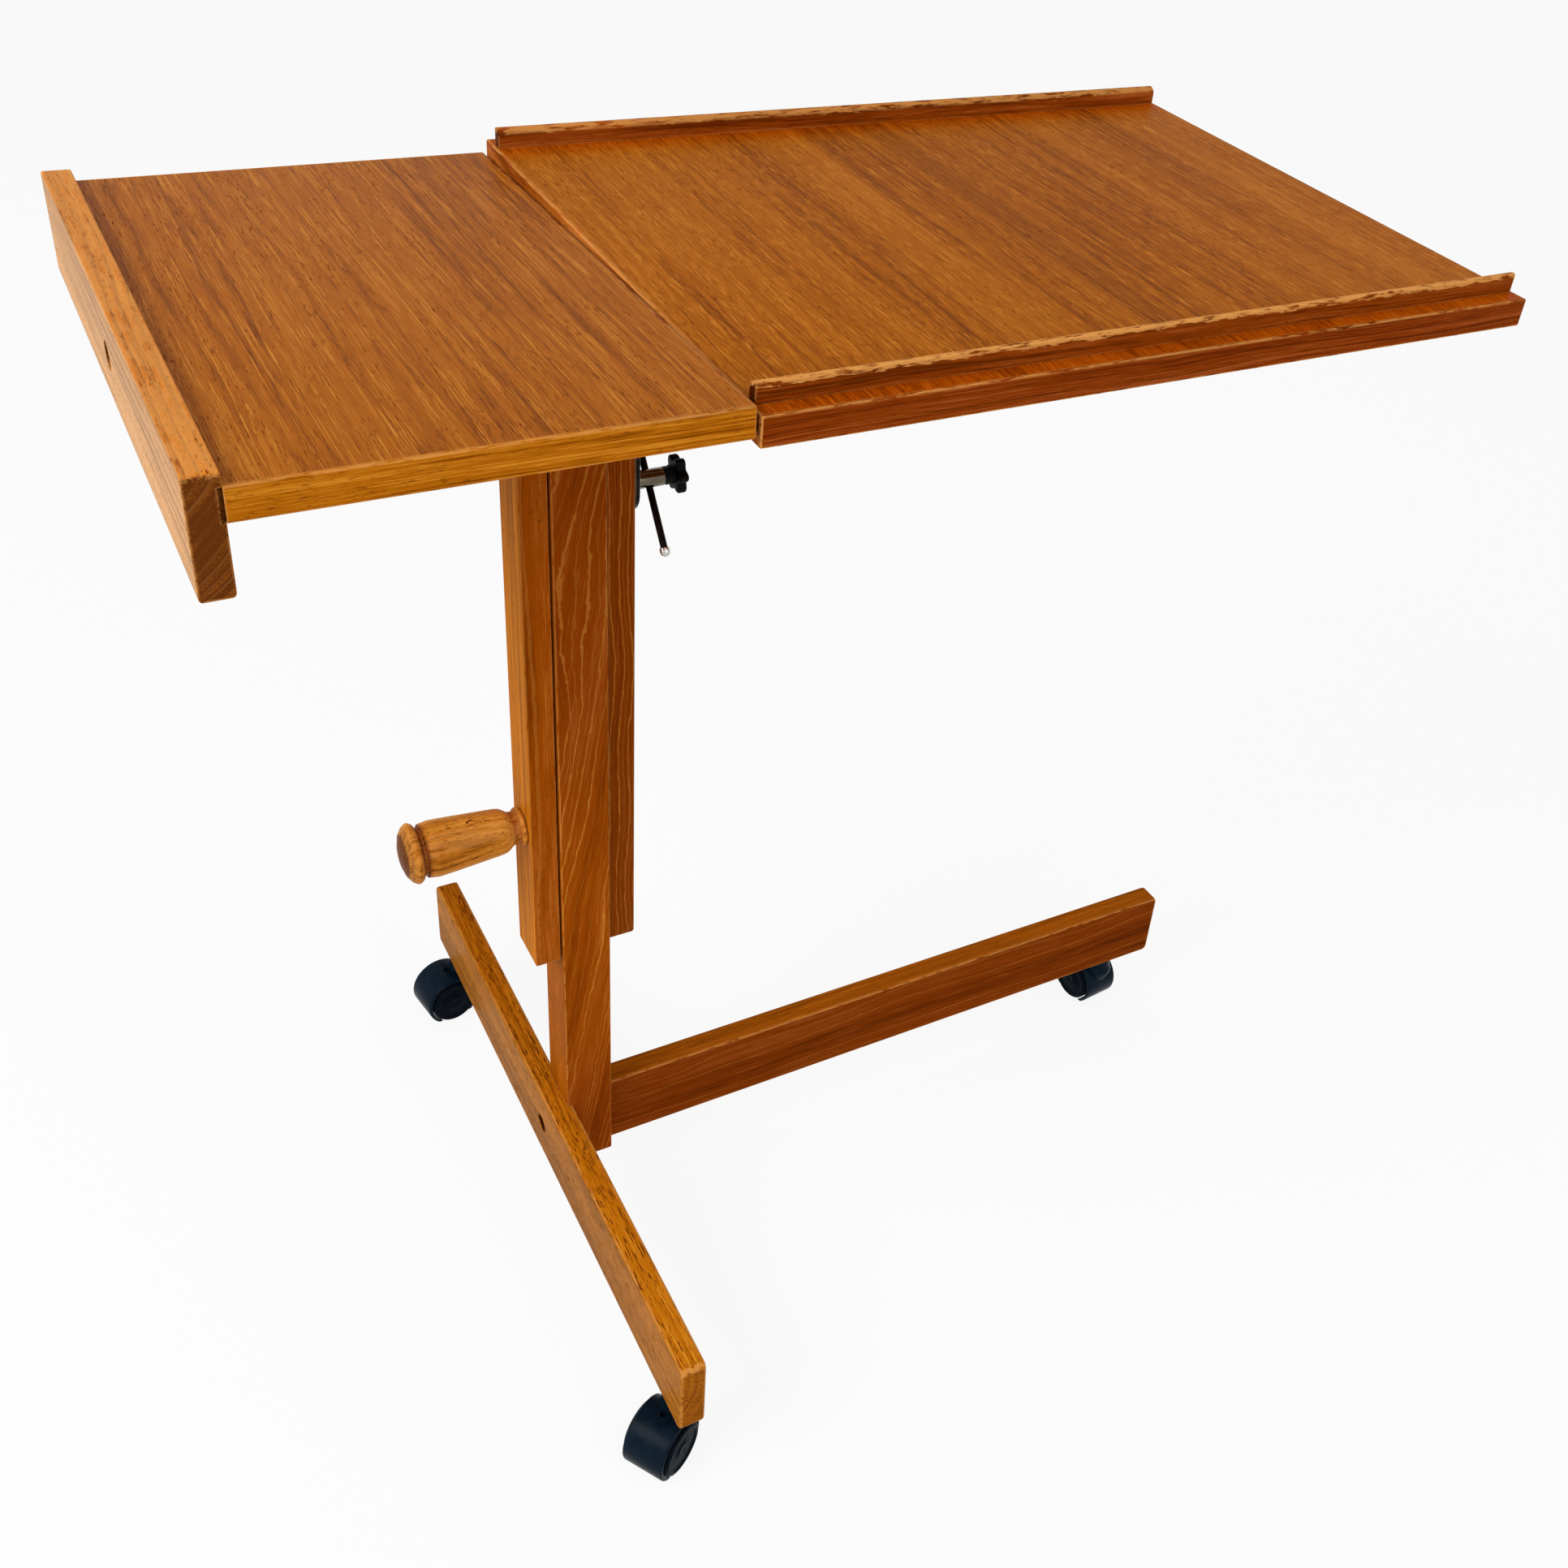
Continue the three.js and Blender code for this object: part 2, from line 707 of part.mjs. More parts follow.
function makeShaftPlug() {
  const body = shaftRadius - shaftWall - glueLine;
  const seat = shaftRight + glueLine;
  const profile = [
    [0, shaftRight - plugDepth],
    [body, shaftRight - plugDepth],
    [body, seat],
    [shaftRadius, seat],
    [shaftRadius, seat + plugHead / 2],
    [body, seat + plugHead],
    [0, seat + plugHead],
  ];
  return turnedX(profile, smallSides).translate(0, 0, axisHeight);
}

function makeCollar(left) {
  const inner = shaftRadius + glueLine;
  const right = left + collarWidth;
  const profile = [
    [inner, left],
    [collarRadius - ease, left],
    [collarRadius, left + ease],
    [collarRadius, right - ease],
    [collarRadius - ease, right],
    [inner, right],
    [inner, left],
  ];
  return turnedX(profile, boreSides).translate(0, 0, axisHeight);
}

// Plate on the right rail, with the rail's own round ends
function makeStayPlate() {
  const outline = stadium(railDepth / 2, sleeveHeight, axisHeight);
  const plate = plankX(outline, rightRailOuter, plateOuter, 0, boreSides / 2);
  const low = rightRailOuter - overrun;
  const high = plateOuter + overrun;
  const shaft = barX(shaftRadius + clearance, low, high, 0, axisHeight);
  return cut(plate, shaft, barX(journalRadius + clearance, low, high, 0, sleeveHeight));
}

// Clamp bolt: round head, square neck let into the right rail, shank through to the handle
function makeClampBolt() {
  const end = leftRailOuter - clampBoltReach;
  const seat = rightRailOuter + glueLine;
  const profile = [
    [0, end],
    [clampBoltRadius, end],
    [clampBoltRadius, seat],
    [boltHeadRadius, seat],
  ];
  const domeSteps = 4;
  for (let step = 1; step <= domeSteps; step += 1) {
    const angle = (step / domeSteps) * Math.PI / 2;
    profile.push([boltHeadRadius * Math.cos(angle), seat + boltHeadHeight * Math.sin(angle)]);
  }
  profile[profile.length - 1][0] = 0;
  const shank = turnedX(profile, boreSides).translate(0, 0, clampHeight);
  const half = clampBoltRadius;
  const neck = block(
    rightRailOuter - boltNeckLength,
    seat + glueLine,
    -half,
    half,
    clampHeight - half,
    clampHeight + half,
  );
  return join(shank, neck);
}

// Handle profile from the rail outwards: bead, cove, shoulder, long taper, groove and domed cap
const handleProfileShares = [
  [0, 0], [0, 0.61], [0.026, 0.662], [0.045, 0.635], [0.056, 0.57], [0.083, 0.548],
  [0.112, 0.59], [0.135, 0.668], [0.165, 0.738], [0.206, 0.772], [0.26, 0.786],
  [0.729, 0.929], [0.745, 0.919], [0.812, 0.88], [0.822, 0.79], [0.842, 0.8],
  [0.858, 0.93], [0.885, 1], [0.9, 0.995], [0.93, 0.92], [0.965, 0.72], [0.99, 0.4], [1, 0],
];

function makeHandle() {
  const profile = handleProfileShares.map(([along, out]) => [
    out * handleRadius,
    along * handleLength,
  ]);
  const wood = turnedX(profile, handleSides);
  const insertBore = insertRadius + glueLine;
  const insertEnd = insertInset + insertLength + glueLine;
  const boltBore = barX(
    clampBoltRadius + clearance,
    0,
    clampBoltReach + clearance,
    0,
    0,
    smallSides,
  );
  return cut(wood, barX(insertBore, -overrun, insertEnd, 0, 0, smallSides), boltBore);
}

function makeHandleInsert() {
  const inner = clampBoltRadius + clearance;
  const end = insertInset + insertLength;
  const profile = [
    [inner, insertInset],
    [insertRadius, insertInset],
    [insertRadius, end],
    [inner, end],
    [inner, insertInset],
  ];
  return turnedX(profile, smallSides);
}

// Lip with an upright outer face and a rounded top, drawn for the front edge
function makeLip(side) {
  const outer = lipOuterFace;
  const inner = lipInnerFace;
  const base = trayTop - lipHousing + glueLine;
  const top = trayTop + glueLine + lipHeight;
  const section = new THREE.Shape();
  section.moveTo(-outer, base);
  section.lineTo(-inner, base);
  section.absarc(-inner - lipInnerRound, top - lipInnerRound, lipInnerRound, 0, Math.PI / 2);
  section.absarc(
    -outer + lipOuterRound,
    top - lipOuterRound,
    lipOuterRound,
    Math.PI / 2,
    Math.PI,
  );
  section.closePath();
  const timber = plankX(section, trayLeft + lipEndGap, trayRight - lipEndGap, 0, lipSteps);
  if (side === 'front') return timber;
  const middle = (trayLeft + trayRight) / 2;
  return timber.translate(-middle, 0, 0).rotateZ(Math.PI).translate(middle, 0, 0);
}

function makeBearer(left) {
  const half = bearerLength / 2;
  const top = trayUnder - glueLine;
  const outline = new THREE.Shape();
  outline.moveTo(-half, top);
  outline.lineTo(-half, top - bearerEndHeight);
  outline.lineTo(-bearerFlat / 2, -timberUnderAxis);
  outline.lineTo(bearerFlat / 2, -timberUnderAxis);
  outline.lineTo(half, top - bearerEndHeight);
  outline.lineTo(half, top);
  outline.closePath();
  const timber = plankX(outline, left, left + bearerThick, ease);
  const bore = shaftRadius + clearance;
  return cut(timber, barX(bore, left - overrun, left + bearerThick + overrun, 0, 0));
}

// Bracket under the tray: a screwed plate with two ears for the pin
function makeStayBracket() {
  const top = trayUnder - glueLine;
  const halfWidth = bracketWidth / 2;
  const halfLength = bracketLength / 2;
  const footprint = rectangle(
    rodX - halfWidth,
    rodX + halfWidth,
    bracketReach - halfLength,
    bracketReach + halfLength,
    sameAllRound(bracketRound),
  );
  const plate = plank(footprint, bracketThick, 0).translate(0, 0, top - bracketThick);
  const earShape = new THREE.Shape();
  earShape.moveTo(bracketReach + earRadius, top - bracketThick / 2);
  earShape.lineTo(bracketReach - earRadius, top - bracketThick / 2);
  earShape.absarc(bracketReach, pinZ, earRadius, Math.PI, Math.PI * 2);
  earShape.closePath();
  const earInner = eyeWidth / 2 + clearance;
  const ears = [rodX - earInner - bracketThick, rodX + earInner].map(
    (left) => plankX(earShape, left, left + bracketThick, 0, smallSides / 2),
  );
  const bore = pinRadius + clearance;
  const low = rodX - halfWidth - overrun;
  const high = rodX + halfWidth + overrun;
  return cut(join(plate, ...ears), barX(bore, low, high, bracketReach, pinZ, smallSides));
}

function makeStayPin() {
  const seat = eyeWidth / 2 + clearance + bracketThick + glueLine;
  const profile = [
    [0, -seat - pinHeadThick],
    [pinHeadRadius, -seat - pinHeadThick],
    [pinHeadRadius, -seat],
    [pinRadius, -seat],
    [pinRadius, seat],
    [pinHeadRadius, seat],
    [pinHeadRadius, seat + pinHeadThick],
    [0, seat + pinHeadThick],
  ];
  return turnedX(profile, smallSides).translate(rodX, bracketReach, pinZ);
}

// Rod with an eye at the top, made along its own axis from the pin down
function makeStayRod() {
  const end = -(staySpan + rodTail - rodTipLength + rodTipSocket);
  const rod = barZ(rodRadius, end, 0, 0, 0, smallSides);
  const eye = barX(eyeRadius, -eyeWidth / 2, eyeWidth / 2, 0, 0);
  return cut(join(rod, eye), barX(pinRadius + clearance, -eyeWidth, eyeWidth, 0, 0, smallSides));
}

function makeRodTip() {
  const end = -(staySpan + rodTail);
  const top = end + rodTipLength;
  const inner = rodRadius + glueLine;
  const round = rodTipRadius;
  const profile = [[0, end]];
  const domeSteps = 4;
  for (let step = 1; step <= domeSteps; step += 1) {
    const angle = (step / domeSteps) * Math.PI / 2;
    profile.push([round * Math.sin(angle), end + round * (1 - Math.cos(angle))]);
  }
  profile.push([round, top - glueLine], [inner, top], [inner, top - rodTipSocket - glueLine]);
  profile.push([0, top - rodTipSocket - glueLine]);
  return turnedZ(profile, smallSides);
}

// Sleeve: a journal in plate and rail, a cross hole for the rod, a tapped end for the knob's screw
function makeSleeve() {
  const bore = knobScrewRadius + clearance;
  const profile = [
    [0, rightRailOuter - journalInRail],
    [journalRadius, rightRailOuter - journalInRail],
    [journalRadius, sleeveStart],
    [sleeveRadius, sleeveStart],
    [sleeveRadius, sleeveEnd - sleeveEdge],
    [sleeveRadius - sleeveEdge, sleeveEnd],
    [bore, sleeveEnd],
    [bore, rodX],
    [0, rodX],
  ];
  const reach = sleeveRadius + overrun;
  return cut(turnedX(profile, boreSides), barZ(rodHoleRadius, -reach, reach, rodX, 0));
}

// Star knob: round lobes on a hub, with the steel screw set into it
function makeKnob() {
  const outline = new THREE.Shape();
  const steps = knobLobes * knobStepsPerLobe;
  for (let step = 0; step < steps; step += 1) {
    const angle = (step / steps) * Math.PI * 2;
    const radius = knobRadius + knobLobeHeight * Math.cos(knobLobes * angle);
    const point = [radius * Math.cos(angle), radius * Math.sin(angle)];
    if (step === 0) outline.moveTo(...point);
    else outline.lineTo(...point);
  }
  outline.closePath();
  const star = plankX(outline, knobStart + hubLength, knobEnd, knobEdge);
  const hub = barX(hubRadius, knobStart, knobStart + hubLength + knobEdge, 0, 0);
  const screwEnd = knobStart + knobScrewInKnob + glueLine;
  const bore = barX(knobScrewRadius + glueLine, knobStart - overrun, screwEnd, 0, 0, smallSides);
  return cut(join(star, hub), bore);
}

function makeKnobScrew() {
  const tip = rodX + rodRadius + knobScrewGap;
  return barX(knobScrewRadius, tip, knobStart + knobScrewInKnob, 0, 0, smallSides);
}

// Caster in its own frame: the swivel axis is Z, the wheels trail towards +X
function makeHood() {
  const half = hoodWidth / 2;
  const drumProfile = [
    [0, -half],
    [hoodRadius - hoodEdge, -half],
    [hoodRadius, -half + hoodEdge],
    [hoodRadius, half - hoodEdge],
    [hoodRadius - hoodEdge, half],
    [0, half],
  ];
  const drum = turned(drumProfile, wheelSides).translate(casterTrail, 0, wheelRadius);
  const top = casterHeight - clearance;
  const neckProfile = [
    [0, top - neckRoot],
    [neckRadius - neckFlare, top - neckRoot],
    [neckRadius + neckFlare, top - neckRoot / 2 - neckFlare],
    [neckRadius + neckFlare, top - neckFlareHeight],
    [neckRadius, top - neckFlareHeight / 2],
    [neckRadius, top],
    [0, top],
  ];
  const body = join(drum, turnedZ(neckProfile, boreSides));
  const inside = hoodRadius - hoodWall;
  const webHalf = webThick / 2;
  const wells = [[webHalf, half + overrun], [-half - overrun, -webHalf]].map(
    ([y0, y1]) => barY(inside, y0, y1, casterTrail, wheelRadius, wheelSides),
  );
  const reach = hoodRadius + overrun;
  const underWeb = common(
    barY(inside, -webHalf - glueLine, webHalf + glueLine, casterTrail, wheelRadius, wheelSides),
    block(
      casterTrail - reach,
      casterTrail + reach,
      -half,
      half,
      wheelRadius - reach,
      wheelRadius - webUnderAxle,
    ),
  );
  const below = block(
    casterTrail - reach,
    casterTrail + reach,
    -half - overrun,
    half + overrun,
    wheelRadius - reach,
    hoodFloorGap,
  );
  const axle = barY(axleRadius + clearance, -half, half, casterTrail, wheelRadius, smallSides);
  const stemBore = stemRadius + glueLine;
  const stemFloor = top - stemInHood - glueLine;
  const stem = barZ(stemBore, stemFloor, top + overrun, 0, 0, smallSides);
  const crown = wheelRadius + hoodRadius;
  const wellFloor = crown - hoodWellDepth;
  const well = barZ(hoodWellRadius, wellFloor, crown + overrun, hoodWellReach, 0, smallSides);
  return cut(body, ...wells, underWeb, below, axle, stem, well);
}

function makeStem() {
  const bottom = casterHeight - clearance - stemInHood;
  const top = casterHeight + stemInFoot;
  const grooveTop = top - stemTipLength - stemGrooveWidth;
  const grooveBottom = grooveTop - stemGrooveWidth;
  const profile = [
    [0, bottom],
    [stemRadius, bottom],
    [stemRadius, grooveBottom],
    [stemRadius - stemGrooveDepth, grooveBottom],
    [stemRadius - stemGrooveDepth, grooveTop],
    [stemRadius, grooveTop],
    [stemRadius, top - stemTipLength],
    [stemRadius / 2, top],
    [0, top],
  ];
  return turnedZ(profile, smallSides);
}

const wheelInnerFace = webThick / 2 + wheelSlip;
const wheelOuterFace = wheelInnerFace + wheelWidth;
const axleEnd = wheelOuterFace - wheelFaceWall - clearance;

function makeAxle() {
  return barY(axleRadius, -axleEnd, axleEnd, casterTrail, wheelRadius, smallSides);
}

// Wheel with a blind hub and a dished outer face, standing on a flat of its tread
function makeWheel(side) {
  const face = wheelOuterFace;
  const bore = axleRadius + clearance;
  const profile = [
    [0, face - wheelFaceWall],
    [bore, face - wheelFaceWall],
    [bore, wheelInnerFace],
    [wheelRadius - wheelInnerRound, wheelInnerFace],
    [wheelRadius, wheelInnerFace + wheelInnerRound],
    [wheelRadius, face - wheelRound],
    [wheelRadius - wheelRound * (1 - Math.SQRT1_2), face - wheelRound * (1 - Math.SQRT1_2)],
    [wheelRadius - wheelRound, face],
    [wheelDishRadius + wheelDishDepth, face],
    [wheelDishRadius, face - wheelDishDepth],
    [wheelBossRadius, face - wheelDishDepth],
    [wheelBossRadius - wheelDishDepth, face],
    [0, face],
  ];
  const wheel = turned(profile, wheelSides).rotateY(Math.PI / wheelSides);
  if (side === 'right') wheel.rotateX(Math.PI);
  return wheel.translate(casterTrail, 0, wheelRadius);
}

function addCaster(parent, place, heading, name) {
  const swivel = subGroup(parent, `${name}_caster`);
  swivel.position.set(place[0], place[1], 0);
  swivel.rotation.z = heading;
  addPiece(swivel, `${name}_caster_hood`, makeHood(), 'blackPlastic');
  addPiece(swivel, `${name}_caster_stem`, makeStem(), 'zincSteel');
  addPiece(swivel, `${name}_caster_axle`, makeAxle(), 'zincSteel');
  addPiece(swivel, `${name}_wheel_left`, makeWheel('left'), 'wheelPlastic');
  addPiece(swivel, `${name}_wheel_right`, makeWheel('right'), 'wheelPlastic');
}

const model = new THREE.Group();

// Base: post, feet and what joins them
const base = subGroup(model, 'base');
const crossFootMiddle = (crossFootInner + crossFootOuter) / 2;
const casterY = crossFootLength / 2 - casterInset;
const casters = {
  near: [crossFootMiddle, -casterY],
  far: [crossFootMiddle, casterY],
  long: [longFootEnd - longCasterInset, 0],
};
addPiece(base, 'post', makePost(), 'teakSolid');
addPiece(base, 'cross_foot', makeCrossFoot([casters.near, casters.far]), 'teakSolid');
addPiece(base, 'long_foot', makeLongFoot(casters.long), 'teakSolid');
const baseBolt = makeBolt(
  baseBoltRadius,
  baseBoltHeadRadius,
  baseBoltHeadThick,
  crossFootOuter + boltWellDepth,
  baseBoltEnd,
  footMiddle,
);
addPiece(base, 'base_bolt', baseBolt, 'zincSteel');
addPiece(base, 'base_barrel_nut', makeBarrelNut(), 'zincSteel');
addPiece(base, 'foot_dowel_lower', makeDowel(-dowelOffset), 'beechDowel');
addPiece(base, 'foot_dowel_upper', makeDowel(dowelOffset), 'beechDowel');
for (const [name, place] of Object.entries(casters)) {
  addPiece(base, `${name}_caster_socket`, makeSocket(...place), 'zincSteel');
}

// Head: fixed top, end board, rails and tilt shaft, which slide on the post as one
const head = subGroup(model, 'head');
const tongueTop = block(
  endBoardOuter,
  endBoardInner + glueLine,
  -halfDepth - overrun,
  halfDepth + overrun,
  tableHeight - tongueStep,
  tableHeight + overrun,
);
addLippedBoard(head, 'fixed_top', 'teakVeneer', {
  left: endBoardInner - grooveDepth + glueLine,
  right: jointX,
  under: boardUnder,
  lippedLeft: false,
  lippingStart: endBoardInner + glueLine,
  recesses: [tongueTop],
});
addPiece(head, 'end_board', makeEndBoard(), 'teakSolid');
const endBolt = makeBolt(
  endBoltRadius,
  endBoltHeadRadius,
  endBoltHeadThick,
  endBoardOuter + boltWellDepth,
  endBoardOuter + boltWellDepth + endBoltLength,
  boardUnder - endBoltDrop,
);
addPiece(head, 'end_bolt', endBolt, 'zincSteel');
addPiece(head, 'apron', makeApron(), 'teakSolid');
addPiece(head, 'left_rail', makeLeftRail(), 'teakSolid');
addPiece(head, 'right_rail', makeRightRail(), 'teakSolid');
addPiece(head, 'rail_spacer', makeSpacer(), 'teakSolid');
addPiece(head, 'tilt_shaft', makeShaft(), 'polishedSteel');
addPiece(head, 'shaft_plug', makeShaftPlug(), 'blackPlastic');
const innerCollarLeft = innerBearerLeft - clearance - collarWidth;
addPiece(head, 'shaft_collar_inner', makeCollar(innerCollarLeft), 'zincSteel');
addPiece(head, 'shaft_collar_outer', makeCollar(outerCollarLeft), 'zincSteel');
addPiece(head, 'stay_plate', makeStayPlate(), 'darkSteel');
addPiece(head, 'clamp_bolt', makeClampBolt(), 'zincSteel');

// Tray: tilts on the shaft
const tray = subGroup(model, 'tray');
tray.position.set(0, 0, axisHeight);
tray.rotation.x = restTilt;
const housingEnd = lippingThick + glueLine / 2;
const lipHousings = [
  [-lipOuterFace - glueLine, -lipInnerFace + glueLine],
  [lipInnerFace - glueLine, lipOuterFace + glueLine],
].map(([y0, y1]) => block(
  trayLeft + housingEnd,
  trayRight - housingEnd,
  y0,
  y1,
  trayTop - lipHousing,
  trayTop + overrun,
));
addLippedBoard(tray, 'tray', 'teakVeneer', {
  left: trayLeft,
  right: trayRight,
  under: trayUnder,
  lippedLeft: true,
  lippingStart: trayLeft,
  recesses: lipHousings,
});
addPiece(tray, 'tray_lip_front', makeLip('front'), 'teakEdge');
addPiece(tray, 'tray_lip_back', makeLip('back'), 'teakEdge');
addPiece(tray, 'tray_bearer_inner', makeBearer(innerBearerLeft), 'teakSolid');
addPiece(tray, 'tray_bearer_outer', makeBearer(outerBearerRight - bearerThick), 'teakSolid');
addPiece(tray, 'stay_bracket', makeStayBracket(), 'zincSteel');
addPiece(tray, 'stay_pin', makeStayPin(), 'zincSteel');

// Stay rod, hung from the pin
const rod = subGroup(model, 'stay_rod_hang');
rod.position.set(rodX, pinPlace.x, axisHeight + pinPlace.y);
rod.rotation.x = -stayLean;
addPiece(rod, 'stay_rod', makeStayRod(), 'darkSteel');
addPiece(rod, 'stay_rod_tip', makeRodTip(), 'polishedSteel');

// Sleeve and star knob, turned so that the cross hole points along the rod
const sleeve = subGroup(model, 'stay_sleeve_turn');
sleeve.position.set(0, 0, sleeveHeight);
sleeve.rotation.x = -stayLean;
addPiece(sleeve, 'stay_sleeve', makeSleeve(), 'polishedSteel');
addPiece(sleeve, 'star_knob', makeKnob(), 'blackPlastic');
addPiece(sleeve, 'knob_screw', makeKnobScrew(), 'zincSteel');

// Clamp handle, standing out to the left of the left rail
const handle = subGroup(model, 'clamp_handle_turn');
handle.position.set(leftRailOuter - clearance, 0, clampHeight);
handle.rotation.z = Math.PI;
addPiece(handle, 'clamp_handle', makeHandle(), 'teakSolid');
addPiece(handle, 'handle_insert', makeHandleInsert(), 'zincSteel');

addCaster(model, casters.near, nearHeading, 'near');
addCaster(model, casters.far, farHeading, 'far');
addCaster(model, casters.long, longHeading, 'long');

// The middle of the footprint, on the floor, becomes the origin
const reach = new THREE.Box3().setFromObject(model, true);
const middle = reach.getCenter(new THREE.Vector3());
model.position.set(-middle.x, -middle.y, -reach.min.z);

const table = new THREE.Group();
table.add(model);

export default table;
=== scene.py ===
# %% [markdown]
# A rolling tray table, dressed for the camera
#
# The table is made of lacquered teak: a fixed top and a tilting tray on a post, with two feet on
# casters. Its solids already exist, in metres, so this lesson never moves or reshapes them. It
# gives every solid a finish, puts finer round pieces in place of the coarse ones, adds the screws
# that hold it together, and sets up a camera and soft light like the ones in the photograph.

# %% Load the frame
import itertools
import json
import math

import bmesh
import bpy
from mathutils import Euler, Matrix, Vector


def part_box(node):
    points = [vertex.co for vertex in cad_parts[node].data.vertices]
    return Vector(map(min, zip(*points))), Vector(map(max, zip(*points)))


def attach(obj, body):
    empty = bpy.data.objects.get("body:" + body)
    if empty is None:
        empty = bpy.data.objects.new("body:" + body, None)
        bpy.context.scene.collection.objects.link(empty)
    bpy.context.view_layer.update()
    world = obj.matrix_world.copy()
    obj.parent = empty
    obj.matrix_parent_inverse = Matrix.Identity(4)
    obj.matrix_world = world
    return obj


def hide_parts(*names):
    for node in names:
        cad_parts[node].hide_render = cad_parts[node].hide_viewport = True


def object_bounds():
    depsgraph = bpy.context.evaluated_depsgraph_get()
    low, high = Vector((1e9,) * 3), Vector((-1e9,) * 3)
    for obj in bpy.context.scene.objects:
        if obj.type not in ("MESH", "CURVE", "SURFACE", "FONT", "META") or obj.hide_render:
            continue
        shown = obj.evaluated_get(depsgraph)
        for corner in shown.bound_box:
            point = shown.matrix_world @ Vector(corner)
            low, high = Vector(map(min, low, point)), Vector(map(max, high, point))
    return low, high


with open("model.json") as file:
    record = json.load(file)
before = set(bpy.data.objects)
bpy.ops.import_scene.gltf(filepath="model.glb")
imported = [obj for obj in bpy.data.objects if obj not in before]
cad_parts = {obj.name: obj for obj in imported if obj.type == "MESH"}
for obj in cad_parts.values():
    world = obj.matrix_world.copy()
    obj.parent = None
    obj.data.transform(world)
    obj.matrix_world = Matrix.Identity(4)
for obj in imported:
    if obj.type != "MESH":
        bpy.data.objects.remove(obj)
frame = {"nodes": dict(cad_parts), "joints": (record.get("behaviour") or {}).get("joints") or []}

MM = 0.001
cad_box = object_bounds()
size = cad_box[1] - cad_box[0]
print("size", [round(side, 4) for side in size])

# %% [markdown]
# The camera
#
# Sixty corners of the table, measured in the photograph, fix where the camera stood, how it was
# turned and how long its lens was. The lens shift stands for a crop that was off centre.

# %% Camera
PICTURE = 1932
SENSOR = 36
FOCAL = 2085.2
OPTICAL_CENTRE = (1098.5, 838.2)
EYE = Vector((-0.48247, -0.89076, 1.13381))
RIGHT = Vector((0.86727, -0.49032, 0.08619))
UP = Vector((0.20923, 0.51608, 0.83059))


def new_object(name, data):
    made = bpy.data.objects.new(name, data)
    bpy.context.scene.collection.objects.link(made)
    return made


def make_camera():
    data = bpy.data.cameras.new("camera")
    data.sensor_width = SENSOR
    data.lens = FOCAL / PICTURE * SENSOR
    data.shift_x = (PICTURE / 2 - OPTICAL_CENTRE[0]) / PICTURE
    data.shift_y = (OPTICAL_CENTRE[1] - PICTURE / 2) / PICTURE
    data.clip_start = 0.01
    camera = new_object("camera", data)
    turn = Matrix((RIGHT, UP, RIGHT.cross(UP))).transposed().to_4x4()
    camera.matrix_world = Matrix.Translation(EYE) @ turn
    return camera


camera = make_camera()
bpy.context.scene.camera = camera
print("lens", round(camera.data.lens, 2), "mm")

# %% [markdown]
# Working with nodes
#
# A finish is a tree of nodes, and short helpers do its wiring: one makes a node and fills its
# sockets, and the others stand for sums, ramps, noise and mixed colours. A socket given as a
# value is linked, and a plain number is typed in.

# %% Node helpers
def fill(tree, made, values):
    for key, value in values.items():
        if isinstance(value, bpy.types.NodeSocket):
            tree.links.new(value, made.inputs[key])
        else:
            made.inputs[key].default_value = value


def node(tree, kind, values=None, **settings):
    made = tree.nodes.new(kind)
    for key, value in settings.items():
        setattr(made, key, value)
    fill(tree, made, values or {})
    return made


def maths(tree, operation, *terms):
    return node(tree, "ShaderNodeMath", dict(enumerate(terms)), operation=operation).outputs[0]


def times(tree, first, second):
    return maths(tree, "MULTIPLY", first, second)


def plus(tree, first, second):
    return maths(tree, "ADD", first, second)


def vectors(tree, operation, *terms, result="Vector"):
    made = node(tree, "ShaderNodeVectorMath", dict(enumerate(terms)), operation=operation)
    return made.outputs[result]


def scaled(tree, vector, amount):
    values = {0: vector, "Scale": amount}
    return node(tree, "ShaderNodeVectorMath", values, operation="SCALE").outputs[0]


def parts(tree, vector):
    return node(tree, "ShaderNodeSeparateXYZ", {0: vector}).outputs


def joined(tree, x, y, z):
    return node(tree, "ShaderNodeCombineXYZ", {0: x, 1: y, 2: z}).outputs[0]


def ramp(tree, value, low, high, start=0.0, end=1.0):
    """value from low to high becomes start to end, with soft ends."""
    sockets = {"Value": value, "From Min": low, "From Max": high, "To Min": start, "To Max": end}
    return node(tree, "ShaderNodeMapRange", sockets, interpolation_type="SMOOTHSTEP").outputs[0]


def noise(tree, place, scale, detail=2.0, roughness=0.5, result=0):
    """Noise whose grains are as large as scale says along each axis."""
    stretched = vectors(tree, "DIVIDE", place, scale)
    values = {"Vector": stretched, "Scale": 1.0, "Detail": detail, "Roughness": roughness}
    return node(tree, "ShaderNodeTexNoise", values).outputs[result]


def mixed(tree, factor, first, second, blend="MIX"):
    values = {0: factor, 6: first, 7: second}
    return node(tree, "ShaderNodeMix", values, data_type="RGBA", blend_type=blend).outputs[2]


def add_sockets(tree, kind, values, in_out="INPUT"):
    """Named sockets of one kind on the outside of a tree. None leaves a socket's usual value."""
    kind = "NodeSocket" + kind
    for name, value in values.items():
        socket = tree.interface.new_socket(name=name, in_out=in_out, socket_type=kind)
        if value is not None:
            socket.default_value = value


def new_material(name):
    material = bpy.data.materials.new(name)
    material.use_nodes = True
    return material, material.node_tree


def dress(material, colour, rough, relief, shine, metallic=0.0):
    """Leads colour, roughness and relief into the material's shader."""
    tree = material.node_tree
    values = {"Base Color": colour, "Roughness": rough, "Metallic": metallic}
    values["Normal"] = node(tree, "ShaderNodeBump", relief).outputs[0]
    fill(tree, tree.nodes["Principled BSDF"], {**values, "Specular IOR Level": shine})
    return material


